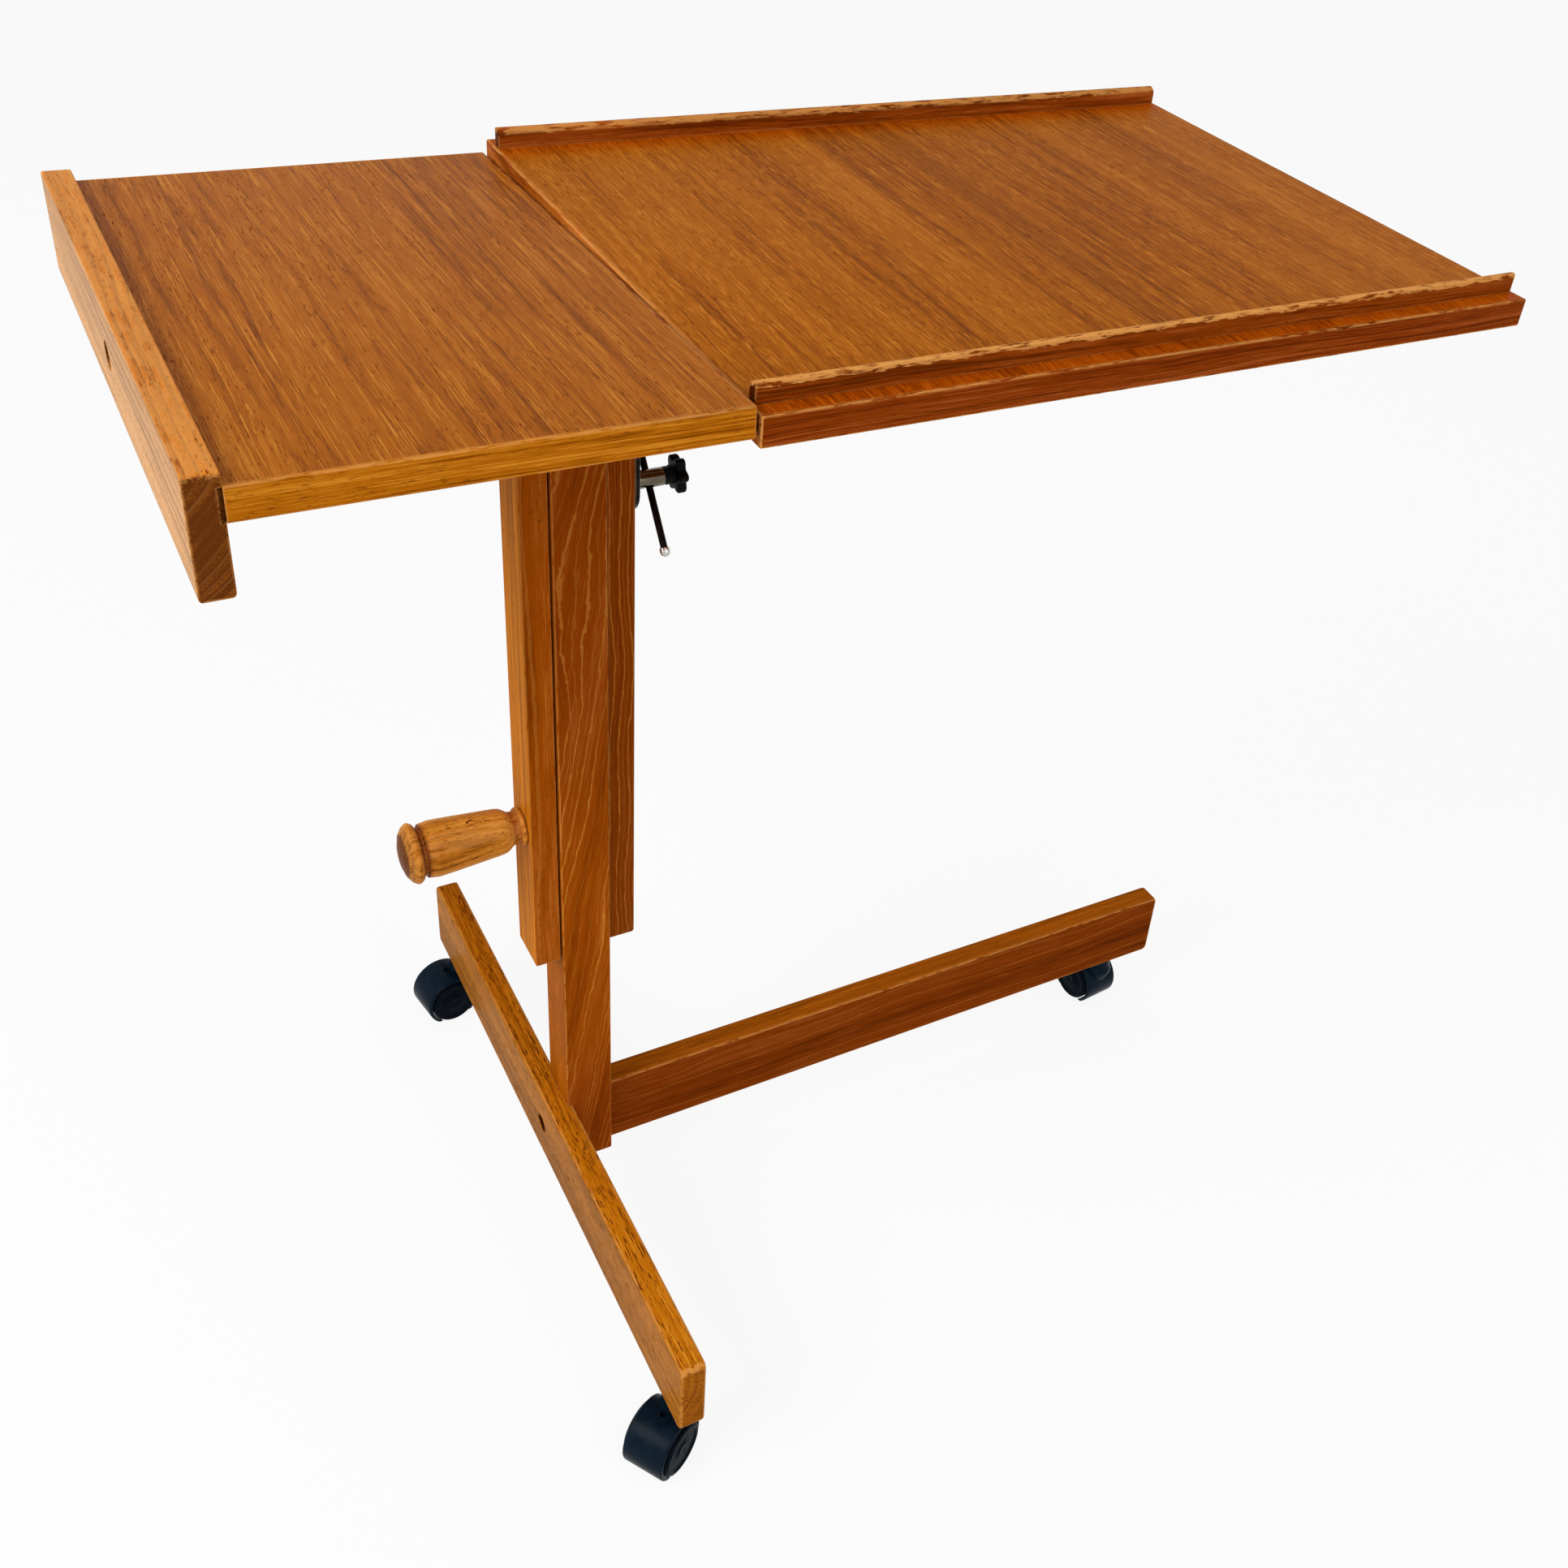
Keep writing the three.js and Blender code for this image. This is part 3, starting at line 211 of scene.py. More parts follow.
# %% [markdown]
# Teak
#
# Quarter-cut teak has straight stripes, thin pale lines where the rings end, short pale flecks,
# and short dark pores along the grain. A flat picture of wood would break at every corner, so the
# pattern is solid: it fills space like a log, and each board is cut out of it. Stripes and rings
# are distances from the log's heart, wandered by noise, so a face that touches the rings shows
# arches, one across them shows lines, and an end shows curves.

# %% Teak as a node group, laid out in millimetres with the grain along Z
TEAK_SIZES = {
    "Ring spacing": 6.0, "Ring line": 0.3, "Line width": 0.5, "Late wood": 0.12, "Wander": 14.0,
    "Zigzag": 0.8, "Stripe": 0.7, "Stripe width": 5.0, "Band": 0.4, "Band width": 30.0,
    "Fleck": 0.3, "Fibre": 0.45, "Grain width": 0.7, "Pores": 0.6, "Pore length": 5.0,
    "Gloss": 0.38,
}
TEAK_TONES = ("Dark", "Middle", "Light")
PORE_COLOUR = (0.14, 0.030, 0.002, 1)
LINE_COLOUR = (0.52, 0.20, 0.03, 1)
END_SHADE = (0.42, 0.38, 0.5, 1)


def make_teak_group():
    tree = bpy.data.node_groups.new("teak", "ShaderNodeTree")
    add_sockets(tree, "Vector", {"Place": None})
    add_sockets(tree, "Float", {"End grain": None, "Wear_with_highlight": None, **TEAK_SIZES})
    add_sockets(tree, "Color", dict.fromkeys(TEAK_TONES + ("Worn_with_highlight",)))
    add_sockets(tree, "Color", {"Colour": None}, "OUTPUT")
    add_sockets(tree, "Float", dict.fromkeys(("Roughness", "Height", "Tone")), "OUTPUT")
    given = tree.nodes.new("NodeGroupInput").outputs
    place = given["Place"]

    def swing(scale, detail, amount):
        cloud = noise(tree, place, scale, detail, result="Color")
        return scaled(tree, vectors(tree, "SUBTRACT", cloud, (0.5, 0.5, 0.5)), amount)

    def from_heart(point):
        across = vectors(tree, "MULTIPLY", point, (1, 1, 0))
        return vectors(tree, "LENGTH", across, result="Value")

    # The log: distance from its heart, pushed about by slow noise and, for the ring lines, by quick
    calm = vectors(tree, "ADD", place, swing((60, 60, 190), 1.0, given["Wander"]))
    jagged = vectors(tree, "ADD", calm, swing((3.5, 3.5, 12), 2.0, given["Zigzag"]))
    calm = from_heart(calm)
    phase = maths(tree, "DIVIDE", from_heart(jagged), given["Ring spacing"])
    luck = node(
        tree, "ShaderNodeTexWhiteNoise", {"W": maths(tree, "ROUND", phase)}, noise_dimensions="1D"
    ).outputs[0]
    to_line = times(tree, maths(tree, "PINGPONG", phase, 0.5), given["Ring spacing"])
    line = ramp(tree, maths(tree, "DIVIDE", to_line, given["Line width"]), 0.35, 1.0, 1.0, 0.0)
    line = times(tree, line, ramp(tree, luck, 0.25, 0.85, 0.15, 1.0))
    late = maths(tree, "POWER", maths(tree, "FRACT", phase), 3.0)

    # Stripes follow the rings, while bands, flecks and fibres are drawn out along the grain
    far_along = maths(tree, "DIVIDE", parts(tree, place)[2], 220.0)
    stripe_at = joined(tree, maths(tree, "DIVIDE", calm, given["Stripe width"]), 3.7, far_along)
    stripe = noise(tree, stripe_at, (1, 1, 1), 4.0, 0.6)
    wide, thin = given["Band width"], given["Grain width"]
    band = noise(tree, place, joined(tree, wide, wide, 640.0), 2.0)

    def drawn_out(share, length):
        across = times(tree, thin, share)
        return joined(tree, across, across, length)

    fleck = ramp(tree, noise(tree, place, drawn_out(1.0, 48.0), 1.5), 0.55, 0.67)
    flock = ramp(tree, noise(tree, place, (5, 5, 90), 1.0), 0.36, 0.6, 0.35, 1.0)
    fleck = times(tree, fleck, flock)
    fibre = noise(tree, place, drawn_out(1.0, 20.0), 3.0, 0.6)
    pore_scale = drawn_out(1.1, given["Pore length"])
    rare = maths(tree, "MULTIPLY_ADD", given["Pores"], -0.05, 0.65)
    common = plus(tree, rare, 0.07)
    pore = ramp(tree, noise(tree, place, pore_scale, 1.0), rare, common)
    crowd = ramp(tree, noise(tree, place, (8, 8, 60), 1.0), 0.35, 0.6, 0.3, 1.0)
    pore = times(tree, times(tree, pore, crowd), given["Pores"])

    # One tone from 0, dark, to 1, light
    def weighed(value, centre, weight):
        return times(tree, maths(tree, "SUBTRACT", value, centre), weight)

    tone = 0.5
    for value, centre, weight in (
        (stripe, 0.5, times(tree, given["Stripe"], 2.2)),
        (band, 0.5, times(tree, given["Band"], 2.2)),
        (luck, 0.5, times(tree, given["Band"], 0.25)),
        (fibre, 0.5, times(tree, given["Fibre"], 1.6)),
        (fleck, 0.12, given["Fleck"]),
        (late, 0.25, times(tree, given["Late wood"], -1.0)),
    ):
        tone = plus(tree, tone, weighed(value, centre, weight))
    tone = maths(tree, "SUBTRACT", tone, times(tree, given["End grain"], 0.45))

    low = mixed(tree, ramp(tree, tone, 0.0, 0.5), given["Dark"], given["Middle"])
    colour = mixed(tree, ramp(tree, tone, 0.5, 1.0), low, given["Light"])
    colour = mixed(tree, times(tree, line, given["Ring line"]), colour, LINE_COLOUR)
    shaded = mixed(tree, 1.0, colour, END_SHADE, "MULTIPLY")
    colour = mixed(tree, given["End grain"], colour, shaded)
    colour = mixed(tree, pore, colour, PORE_COLOUR)

    # Worn places are pale where the lacquer has rubbed off, in patches with dark nicks between.
    # On the arrises this pale colour is partly a painted highlight.
    patch = ramp(tree, noise(tree, place, (3, 3, 16), 3.0, 0.65), 0.36, 0.52)
    wear_and_highlight = times(tree, given["Wear_with_highlight"], patch)
    colour = mixed(tree, wear_and_highlight, colour, given["Worn_with_highlight"])

    rough = plus(tree, given["Gloss"], weighed(fibre, 0.5, 0.2))
    rough = plus(tree, rough, times(tree, pore, 0.25))
    rough = plus(tree, rough, times(tree, wear_and_highlight, 0.2))
    relief = maths(tree, "SUBTRACT", times(tree, fibre, 0.35), pore)
    tone = maths(tree, "SUBTRACT", tone, times(tree, pore, 0.6))
    results = {"Colour": colour, "Roughness": rough, "Height": relief, "Tone": tone}
    node(tree, "NodeGroupOutput", results)
    return tree


teak_group = make_teak_group()
print("teak group nodes", len(teak_group.nodes))

# %% [markdown]
# One finish for each board
#
# Each board gets its own middle tone and its own place in the log: `heart` is where the board's
# middle lies from the log's heart, in millimetres across the grain. A far heart gives straight
# lines, a near one gives arches. A Mapping node turns the log so that its grain runs along the
# board, or leans a little, as in the post.
#
# The Bevel node finds the arrises, where lacquer wears off first, and their pale colour is partly a
# painted highlight. The tops of the lips are rubbed bare by books. Faces turned to the left, and
# faces turned up where a board asks for it, get a colour of their own: painted light and shade.
# Zones make a stretch of a board darker or lighter, such as the strips beside the lips, which are
# painted shade of the lips. The deep wells of two bolts are darkened: painted shade and grime.

# %% Timber finishes
GRAIN_TURN = {"x": (0, -math.pi / 2, 0), "y": (math.pi / 2, 0, 0), "z": (0, 0, 0)}
TONES = {
    "fixed top": (0.360, 0.096, 0.003),
    "tray": (0.375, 0.098, 0.002),
    "gold": (0.430, 0.122, 0.002),
    "orange": (0.420, 0.100, 0.008),
    "lipping": (0.225, 0.034, 0.0008),
    "lip": (0.270, 0.048, 0.002),
    "end board": (0.590, 0.175, 0.012),
    "post": (0.240, 0.041, 0.0004),
    "rail": (0.300, 0.058, 0.0004),
    "right rail": (0.190, 0.033, 0.0004),
    "cross foot": (0.510, 0.150, 0.003),
    "long foot": (0.215, 0.036, 0.0005),
    "handle": (0.480, 0.155, 0.010),
    "hidden": (0.28, 0.065, 0.003),
    "beech": (0.48, 0.30, 0.13),
}
# Pale colour of rubbed lacquer, which on the arrises is partly a painted highlight
WORN_AND_HIGHLIGHT = (0.66, 0.285, 0.070)
# Factor for the strips in front of the lips: painted shade of the lips
LIP_SHADE = (0.95, 0.60, 0.30, 1)
DARKER = (0.72, 0.68, 0.62, 1)
LIGHTER = (1.39, 1.47, 1.61, 1)
# Colour for the walls of a bolt's deep well: painted shade and grime
WELL_SHADE_AND_GRIME = (0.055, 0.012, 0.002, 1)
DARK_SHARES = (0.48, 0.42, 0.32)
LIGHT_SHARES = (1.4, 1.75, 2.6)
LIGHT_LIFT = 0.01
ARRIS = 2.0 * MM
RAGGED = 9 * MM
PORE_DEPTH = 0.12 * MM
WELL_RADIUS = 8 * MM
SQUARE_ON = (0.7, 0.95)
LOG_STEP = 37.0


def opaque(colour):
    return (*colour, 1.0)


def tones_of(middle):
    dark = [value * share for value, share in zip(middle, DARK_SHARES)]
    light = [value * share + LIGHT_LIFT for value, share in zip(middle, LIGHT_SHARES)]
    return [opaque(colour) for colour in (dark, middle, light)]


def flatness(tree, radius):
    """1 on flat faces and less within radius of an edge, where the Bevel node turns the face."""
    rounded = node(tree, "ShaderNodeBevel", {"Radius": radius}, samples=6).outputs[0]
    normal = node(tree, "ShaderNodeNewGeometry").outputs["Normal"]
    return vectors(tree, "DOT_PRODUCT", rounded, normal, result="Value")


def timber(
    name, grain, heart, tone, box, lean=0.0, wear=0.35, top_wear=0.0, sunned=None, top=None,
    ends=1.0, zones=(), bolt=None, shine=0.01, **sizes
):
    """Finish of the board in this box, with its own rubbed edges, painted light and shade, and
    zones.
    """
    material, tree = new_material(name)
    seen = node(tree, "ShaderNodeTexCoord").outputs
    turn = Euler([a + b for a, b in zip(GRAIN_TURN[grain], (0, math.radians(lean), 0))])
    centre = turn.to_matrix() @ ((box[0] + box[1]) / 2 / MM)
    sockets = {"Vector": seen["Object"], "Scale": (1 / MM,) * 3, "Rotation": turn}
    sockets["Location"] = (heart[0] - centre.x, heart[1] - centre.y, LOG_STEP * len(name))
    turned = node(tree, "ShaderNodeMapping", sockets).outputs[0]
    facing = parts(tree, seen["Normal"])
    place = parts(tree, seen["Object"])

    # End grain, and wear on the arrises, on slanting chamfers and on the tops of the lips.
    # On arrises and chamfers the pale wear is partly a painted highlight.
    along = maths(tree, "ABSOLUTE", facing["xyz".index(grain)])
    end = ramp(tree, along, *SQUARE_ON, 0.0, ends)
    wear_and_highlight = ramp(tree, flatness(tree, ARRIS), 0.86, 0.975, wear, 0.0)
    steepest = maths(tree, "ABSOLUTE", facing[0])
    for axis in (1, 2):
        steepest = maths(tree, "MAXIMUM", steepest, maths(tree, "ABSOLUTE", facing[axis]))
    wear_and_highlight = maths(tree, "MAXIMUM", wear_and_highlight, ramp(tree, steepest, 0.90, 0.965, wear, 0.0))
    if top_wear:
        ragged = noise(tree, turned, (2, 2, 12), 3.0, 0.65)
        rise = maths(tree, "MULTIPLY_ADD", ragged, RAGGED, place[2])
        brim = box[1].z
        bare = ramp(tree, rise, brim + 1.4 * MM, brim + 2.2 * MM, 0.0, top_wear)
        wear_and_highlight = maths(tree, "MAXIMUM", wear_and_highlight, bare)

    values = {**TEAK_SIZES, **sizes, **dict(zip(TEAK_TONES, tones_of(TONES[tone])))}
    values.update({"Worn_with_highlight": opaque(WORN_AND_HIGHLIGHT), "Place": turned, "End grain": end, "Wear_with_highlight": wear_and_highlight})
    wood = node(tree, "ShaderNodeGroup", values, node_tree=teak_group)

    # Zones, painted light and shade on faces turned left or up, and painted shade and grime in
    # wells
    colour = wood.outputs["Colour"]
    for axis, start, stop, factor in zones:
        changed = mixed(tree, 1.0, colour, factor, "MULTIPLY")
        colour = mixed(tree, ramp(tree, place[axis], start, stop), colour, changed)
    strength = ramp(tree, wood.outputs["Tone"], 0.0, 1.0, 0.62, 1.38)
    # Painted light and shade: faces turned to the left, and faces turned up, take a colour of their
    # own
    for axis, towards, face_shading in ((0, -1, sunned), (2, 1, top)):
        if face_shading:
            low, high = (limit * towards for limit in SQUARE_ON)
            share = ramp(tree, facing[axis], low, high, 0.0, 0.85)
            colour = mixed(tree, share, colour, scaled(tree, face_shading, strength))
    # Painted shade and grime: the walls of a bolt's deep well are darkened
    if bolt:
        off = vectors(tree, "SUBTRACT", seen["Object"], middle_of(bolt))
        off = vectors(tree, "LENGTH", vectors(tree, "MULTIPLY", off, (0, 1, 1)), result="Value")
        sunk = ramp(tree, off, WELL_RADIUS * 1.02, WELL_RADIUS * 1.1, 1.0, 0.0)
        deep = ramp(tree, place[0], box[0].x + 0.2 * MM, box[0].x + 1.5 * MM)
        colour = mixed(tree, times(tree, sunk, deep), colour, WELL_SHADE_AND_GRIME)

    relief = {"Height": wood.outputs["Height"], "Distance": PORE_DEPTH, "Strength": 0.7}
    return dress(material, colour, wood.outputs["Roughness"], relief, shine)


def finish(name, material):
    for slot in frame["nodes"][name].material_slots:
        slot.material = material


def middle_of(name):
    low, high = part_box(name)
    return (low + high) / 2


# %% [markdown]
# The boards
#
# The two tops are veneered, with fine straight figure and no ring lines. Their lippings are thin
# solid strips. The rails, the post and the feet are solid, and the post and the right rail show
# the pale ring lines best. A zone is an axis, where it starts, where it is full, and its factor.

# %% The boards' finishes
lip_front, lip_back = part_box("tray_lip_front"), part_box("tray_lip_back")
TRAY_ZONES = (
    # The first two zones darken and redden the strips in front of the lips: painted shade of the
    # lips.
    (1, lip_front[1].y, lip_front[0].y, LIP_SHADE),
    (1, lip_back[0].y - 32 * MM, lip_back[0].y, LIP_SHADE),
    (0, 127 * MM, 135 * MM, DARKER),
    (0, 149 * MM, 160 * MM, LIGHTER),
)
# Painted shade: the post is lighter from 520 mm down to 300 mm, so that its upper part under the
# top stays darker. Near its foot it turns darker again.
POST_SHADE_ZONES = (
    (2, 520 * MM, 300 * MM, (1.3, 1.45, 1.3, 1)),
    (2, 200 * MM, 120 * MM, (0.88, 0.80, 0.90, 1)),
)
FOOT_ZONES = ((1, -50 * MM, 150 * MM, (0.85, 0.78, 0.60, 1)),)
VENEER = {
    "Ring line": 0.0, "Late wood": 0.0, "Wander": 9.0, "Stripe": 0.55, "Stripe width": 2.4,
    "Band": 0.4, "Fleck": 0.8, "Fibre": 0.6, "Grain width": 0.6, "Pores": 0.8,
    "Pore length": 7.0, "shine": 0.02,
}
TRAY_VENEER = {**VENEER, "Band": 0.45, "Band width": 60.0, "shine": 0.01, "zones": TRAY_ZONES}
EDGE = {"Ring line": 0.1, "Stripe": 1.1, "Stripe width": 1.8, "Fibre": 0.9, "wear": 0.8}
LIP = {
    **EDGE, "Stripe width": 3.0, "Band": 1.0, "Band width": 6.0, "top_wear": 1.0, "wear": 0.5,
}
PALE_LINES = {
    "Ring spacing": 3.4, "Ring line": 0.45, "Line width": 0.55, "Wander": 34.0, "Zigzag": 3.0,
    "Stripe": 0.5, "Pores": 0.3, "shine": 0.005,
}
# Colours given for faces turned to the left are painted light and shade, and the long foot's colour
# for its top faces is painted light from above.
END_BOARD = {
    "Ring spacing": 4.5, "Ring line": 0.7, "Line width": 0.9, "Late wood": 0.55, "Pores": 0.9,
    "wear": 0.4, "top_wear": 0.5, "sunned": (0.56, 0.285, 0.10), "bolt": "end_bolt",
    "shine": 0.03,
}
LEFT_RAIL = {
    "Ring spacing": 3.5, "Ring line": 0.25, "Wander": 6.0, "sunned": (0.55, 0.175, 0.008),
    "shine": 0.005,
}
POST = {**PALE_LINES, "lean": -8.0, "sunned": (0.37, 0.093, 0.003), "zones": POST_SHADE_ZONES}
CROSS_FOOT = {
    "Pores": 1.4, "Pore length": 9.0, "Grain width": 0.85, "Fibre": 0.8, "wear": 0.8,
    "ends": 0.45, "sunned": (0.33, 0.120, 0.015), "bolt": "base_bolt", "zones": FOOT_ZONES,
}
LONG_FOOT = {"wear": 0.8, "Stripe": 0.5, "Fleck": 0.7, "top": (0.37, 0.092, 0.003), "shine": 0.005}

# Name: grain, heart, tone, and what differs from the usual
BOARDS = {
    "fixed_top_board": ("y", (300, 460), "fixed top", VENEER),
    "tray_board": ("y", (640, 300), "tray", TRAY_VENEER),
    "fixed_top_front_lipping": ("x", (60, 20), "gold", EDGE),
    "fixed_top_back_lipping": ("x", (55, 30), "gold", EDGE),
    "fixed_top_right_lipping": ("y", (60, 25), "lipping", EDGE),
    "tray_front_lipping": ("x", (70, 25), "lipping", EDGE),
    "tray_back_lipping": ("x", (64, 31), "lipping", EDGE),
    "tray_right_lipping": ("y", (58, 34), "lipping", EDGE),
    "tray_left_lipping": ("y", (66, 22), "orange", EDGE),
    "tray_lip_front": ("x", (48, 36), "lip", LIP),
    "tray_lip_back": ("x", (30, 44), "lip", {**LIP, "top_wear": 0.7}),
    "end_board": ("y", (90, 90), "end board", END_BOARD),
    "apron": ("x", (50, 30), "hidden", {}),
    "left_rail": ("z", (-14, 74), "rail", LEFT_RAIL),
    "right_rail": ("z", (-56, 18), "right rail", {**PALE_LINES, "wear": 0.2}),
    "rail_spacer": ("z", (40, 30), "hidden", {}),
    "post": ("z", (60, -16), "post", POST),
    "cross_foot": ("y", (70, 22), "cross foot", CROSS_FOOT),
    "long_foot": ("x", (40, 60), "long foot", LONG_FOOT),
    "tray_bearer_inner": ("y", (45, 28), "hidden", {}),
    "tray_bearer_outer": ("y", (38, -34), "hidden", {}),
}
for board, (grain, heart, tone, sizes) in BOARDS.items():
    finish(board, timber(board + "_teak", grain, heart, tone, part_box(board), **sizes))
print("boards finished", len(BOARDS))

# %% [markdown]
# Metal and plastic
#
# The shaft and the rod's tip are polished steel, the sleeve is oiled, the rod and the plate are
# darkened, and the small fittings are zinc plated. The casters and the star knob are satin black
# plastic. Each gets fine noise: scratches round the polished bars, a grainy bloom on the zinc,
# and the faint orange peel of moulded plastic.

# %% Metal and plastic finishes
def speckled(name, low, high, grain, rough, depth, metallic, edge, shine=0.5):
    """A finish between two colours, with its patches and its grain in millimetres."""
    material, tree = new_material(name)
    seen = node(tree, "ShaderNodeTexCoord").outputs["Object"]
    place = node(tree, "ShaderNodeMapping", {"Vector": seen, "Scale": (1 / MM,) * 3}).outputs[0]
    patches = noise(tree, place, (9, 9, 9), 3.0, 0.6)
    fine = noise(tree, place, grain, 3.0, 0.6)
    blend = plus(tree, times(tree, patches, 0.6), times(tree, fine, 0.4))
    colour = mixed(tree, ramp(tree, blend, 0.35, 0.65), opaque(low), opaque(high))
    rubbed = ramp(tree, flatness(tree, RUBBED_EDGE), 0.8, 0.98, 1.0, 0.0)
    colour = mixed(tree, times(tree, rubbed, patches), colour, opaque(edge))
    relief = {"Height": fine, "Distance": depth, "Strength": 0.5}
    return dress(material, colour, ramp(tree, blend, 0.3, 0.7, *rough), relief, shine, metallic)


RUBBED_EDGE = 0.7 * MM
BRIGHT = (0.50, 0.46, 0.41)
RUBBED_PLASTIC = (0.04, 0.055, 0.07)
PEEL = 0.02 * MM

# Name: darkest and lightest colour, grain, least and most roughness, and depth of the grain
METALS = {
    "polished_steel": ((0.48, 0.46, 0.43), (0.58, 0.56, 0.52), (0.2, 3, 3), (0.12, 0.22), 0.01),
    "oiled_steel": ((0.10, 0.085, 0.06), (0.17, 0.14, 0.10), (0.2, 3, 3), (0.12, 0.26), 0.01),
    "zinc_plate": ((0.30, 0.31, 0.31), (0.48, 0.48, 0.46), (0.5, 0.5, 0.5), (0.3, 0.5), 0.02),
    "dark_steel": ((0.006, 0.004, 0.004), (0.018, 0.012, 0.011), (0.3, 0.3, 2), (0.2, 0.4), 0.015),
}
polished, oiled, zinc, dark_steel = (
    speckled(name, low, high, grain, rough, depth * MM, 1.0, BRIGHT)
    for name, (low, high, grain, rough, depth) in METALS.items()
)

# Name: darkest and lightest colour, grain, least and most roughness, and shine
PLASTICS = {
    "hood_plastic": ((0.001, 0.005, 0.011), (0.003, 0.011, 0.022), 0.3, (0.24, 0.38), 0.05),
    "wheel_plastic": ((0.001, 0.003, 0.006), (0.003, 0.006, 0.011), 0.3, (0.30, 0.46), 0.02),
    "knob_plastic": ((0.002, 0.002, 0.002), (0.005, 0.005, 0.004), 0.25, (0.35, 0.55), 0.05),
}
hood_plastic, wheel_plastic, knob_plastic = (
    speckled(name, low, high, (grain,) * 3, rough, PEEL, 0.0, RUBBED_PLASTIC, shine)
    for name, (low, high, grain, rough, shine) in PLASTICS.items()
)
beech = timber("beech_dowel", "x", (30, 20), "beech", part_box("foot_dowel_lower"), Pores=0.2)

ZINC_PLATED = (
    "stay_bracket", "base_barrel_nut", "end_bolt", "stay_pin", "handle_insert", "knob_screw",
    "near_caster_socket", "far_caster_socket", "long_caster_socket",
)
for names, material in (
    (ZINC_PLATED, zinc),
    # The base bolt gets the darkened steel so that its deep well looks dark: painted shade
    (("stay_plate", "base_bolt"), dark_steel),
    (("foot_dowel_lower", "foot_dowel_upper"), beech),
):
    for name in names:
        finish(name, material)
print("zinc plated", len(ZINC_PLATED))

# %% [markdown]
# Turned pieces by a rule
#
# The handle and the star knob follow a turner's template, a line that says how far out the wood
# stands at each place, so Geometry Nodes make them. The tree bends a flat grid: one side walks
# along the template, which two Float Curves hold, and the other walks round the axis. Lobes are a
# cosine added to the radius, fading towards the hub.

# %% A Geometry Nodes lathe
def path_shares(profile):
    """How far along the whole path each template point lies, from 0 to 1."""
    lengths = [0.0]
    for (x0, r0), (x1, r1) in zip(profile, profile[1:]):
        lengths.append(lengths[-1] + math.hypot(x1 - x0, r1 - r0))
    return [length / lengths[-1] for length in lengths]


def float_curve(tree, value, points):
    made = node(tree, "ShaderNodeFloatCurve", {"Value": value})
    curve = made.mapping.curves[0]
    while len(curve.points) < len(points):
        curve.points.new(0.5, 0.5)
    for point, (across, up) in zip(curve.points, points):
        point.location = (across, up)
        point.handle_type = "VECTOR"
    made.mapping.update()
    return made.outputs[0]


def end_tree(tree, geometry, material):
    """Makes instances real, sets the material and leads the result out of the tree."""
    real = node(tree, "GeometryNodeRealizeInstances", {"Geometry": geometry}).outputs[0]
    done = node(tree, "GeometryNodeSetMaterial", {"Geometry": real, "Material": material})
    node(tree, "NodeGroupOutput", {0: done.outputs[0]})
    return tree


def make_lathe(name, profile, length, radius):
    """A tree that turns the template, whose points are places along and out, from 0 to 1."""
    tree = bpy.data.node_groups.new(name, "GeometryNodeTree")
    add_sockets(tree, "Geometry", {"Geometry": None})
    add_sockets(tree, "Float", {"Length": length, "Radius": radius, "Lobe height": 0.0})
    add_sockets(tree, "Int", {"Rings": 200, "Sides": 96, "Lobes": 0})
    add_sockets(tree, "Material", {"Material": None})
    add_sockets(tree, "Geometry", {"Geometry": None}, "OUTPUT")
    given = tree.nodes.new("NodeGroupInput").outputs
    counts = {"Vertices X": given["Rings"], "Vertices Y": given["Sides"]}
    grid = node(tree, "GeometryNodeMeshGrid", {"Size X": 1.0, "Size Y": 1.0, **counts})
    place = parts(tree, node(tree, "GeometryNodeInputPosition").outputs[0])
    walk = plus(tree, place[0], 0.5)
    angle = times(tree, place[1], 2 * math.pi)
    shares = path_shares([(x * length, r * radius) for x, r in profile])
    along = float_curve(tree, walk, [(share, x) for share, (x, _) in zip(shares, profile)])
    out = float_curve(tree, walk, [(share, r) for share, (_, r) in zip(shares, profile)])
    lobe = maths(tree, "COSINE", times(tree, angle, given["Lobes"]))
    lobe = times(tree, times(tree, lobe, ramp(tree, out, 0.45, 0.8)), given["Lobe height"])
    reach = plus(tree, times(tree, out, given["Radius"]), lobe)
    turned = joined(
        tree,
        times(tree, along, given["Length"]),
        times(tree, reach, maths(tree, "COSINE", angle)),
        times(tree, reach, maths(tree, "SINE", angle)),
    )
    walls = {"Geometry": grid.outputs["Mesh"], "Position": turned}
    bent = node(tree, "GeometryNodeSetPosition", walls).outputs[0]
    closed = node(tree, "GeometryNodeMergeByDistance", {"Geometry": bent, "Distance": 0.01 * MM})
    return end_tree(tree, closed.outputs[0], given["Material"])


def run_tree(name, tree, inputs, base=None):
    """Runs a tree on an object of its own and returns the result as a plain mesh."""
    helper = new_object(name, base or bpy.data.meshes.new(name))
    modifier = helper.modifiers.new(name, "NODES")
    modifier.node_group = tree
    for item in tree.interface.items_tree:
        if item.item_type == "SOCKET" and item.in_out == "INPUT" and item.name in inputs:
            modifier[item.identifier] = inputs[item.name]
    graph = bpy.context.evaluated_depsgraph_get()
    mesh = bpy.data.meshes.new_from_object(helper.evaluated_get(graph))
    helper.modifiers.clear()
    bpy.data.objects.remove(helper)
    return mesh


# %% [markdown]
# Setting a piece in its place
#
# Every finished piece has its place in its mesh and its object at the origin, so that patterns on
# Object coordinates fit. Doubled points are merged, faces turned outwards and low angles shaded
# smooth, and the piece then rides on a body of the frame.

# %% Placing helpers
DOUBLES = 0.002 * MM
SHARP = math.radians(35)


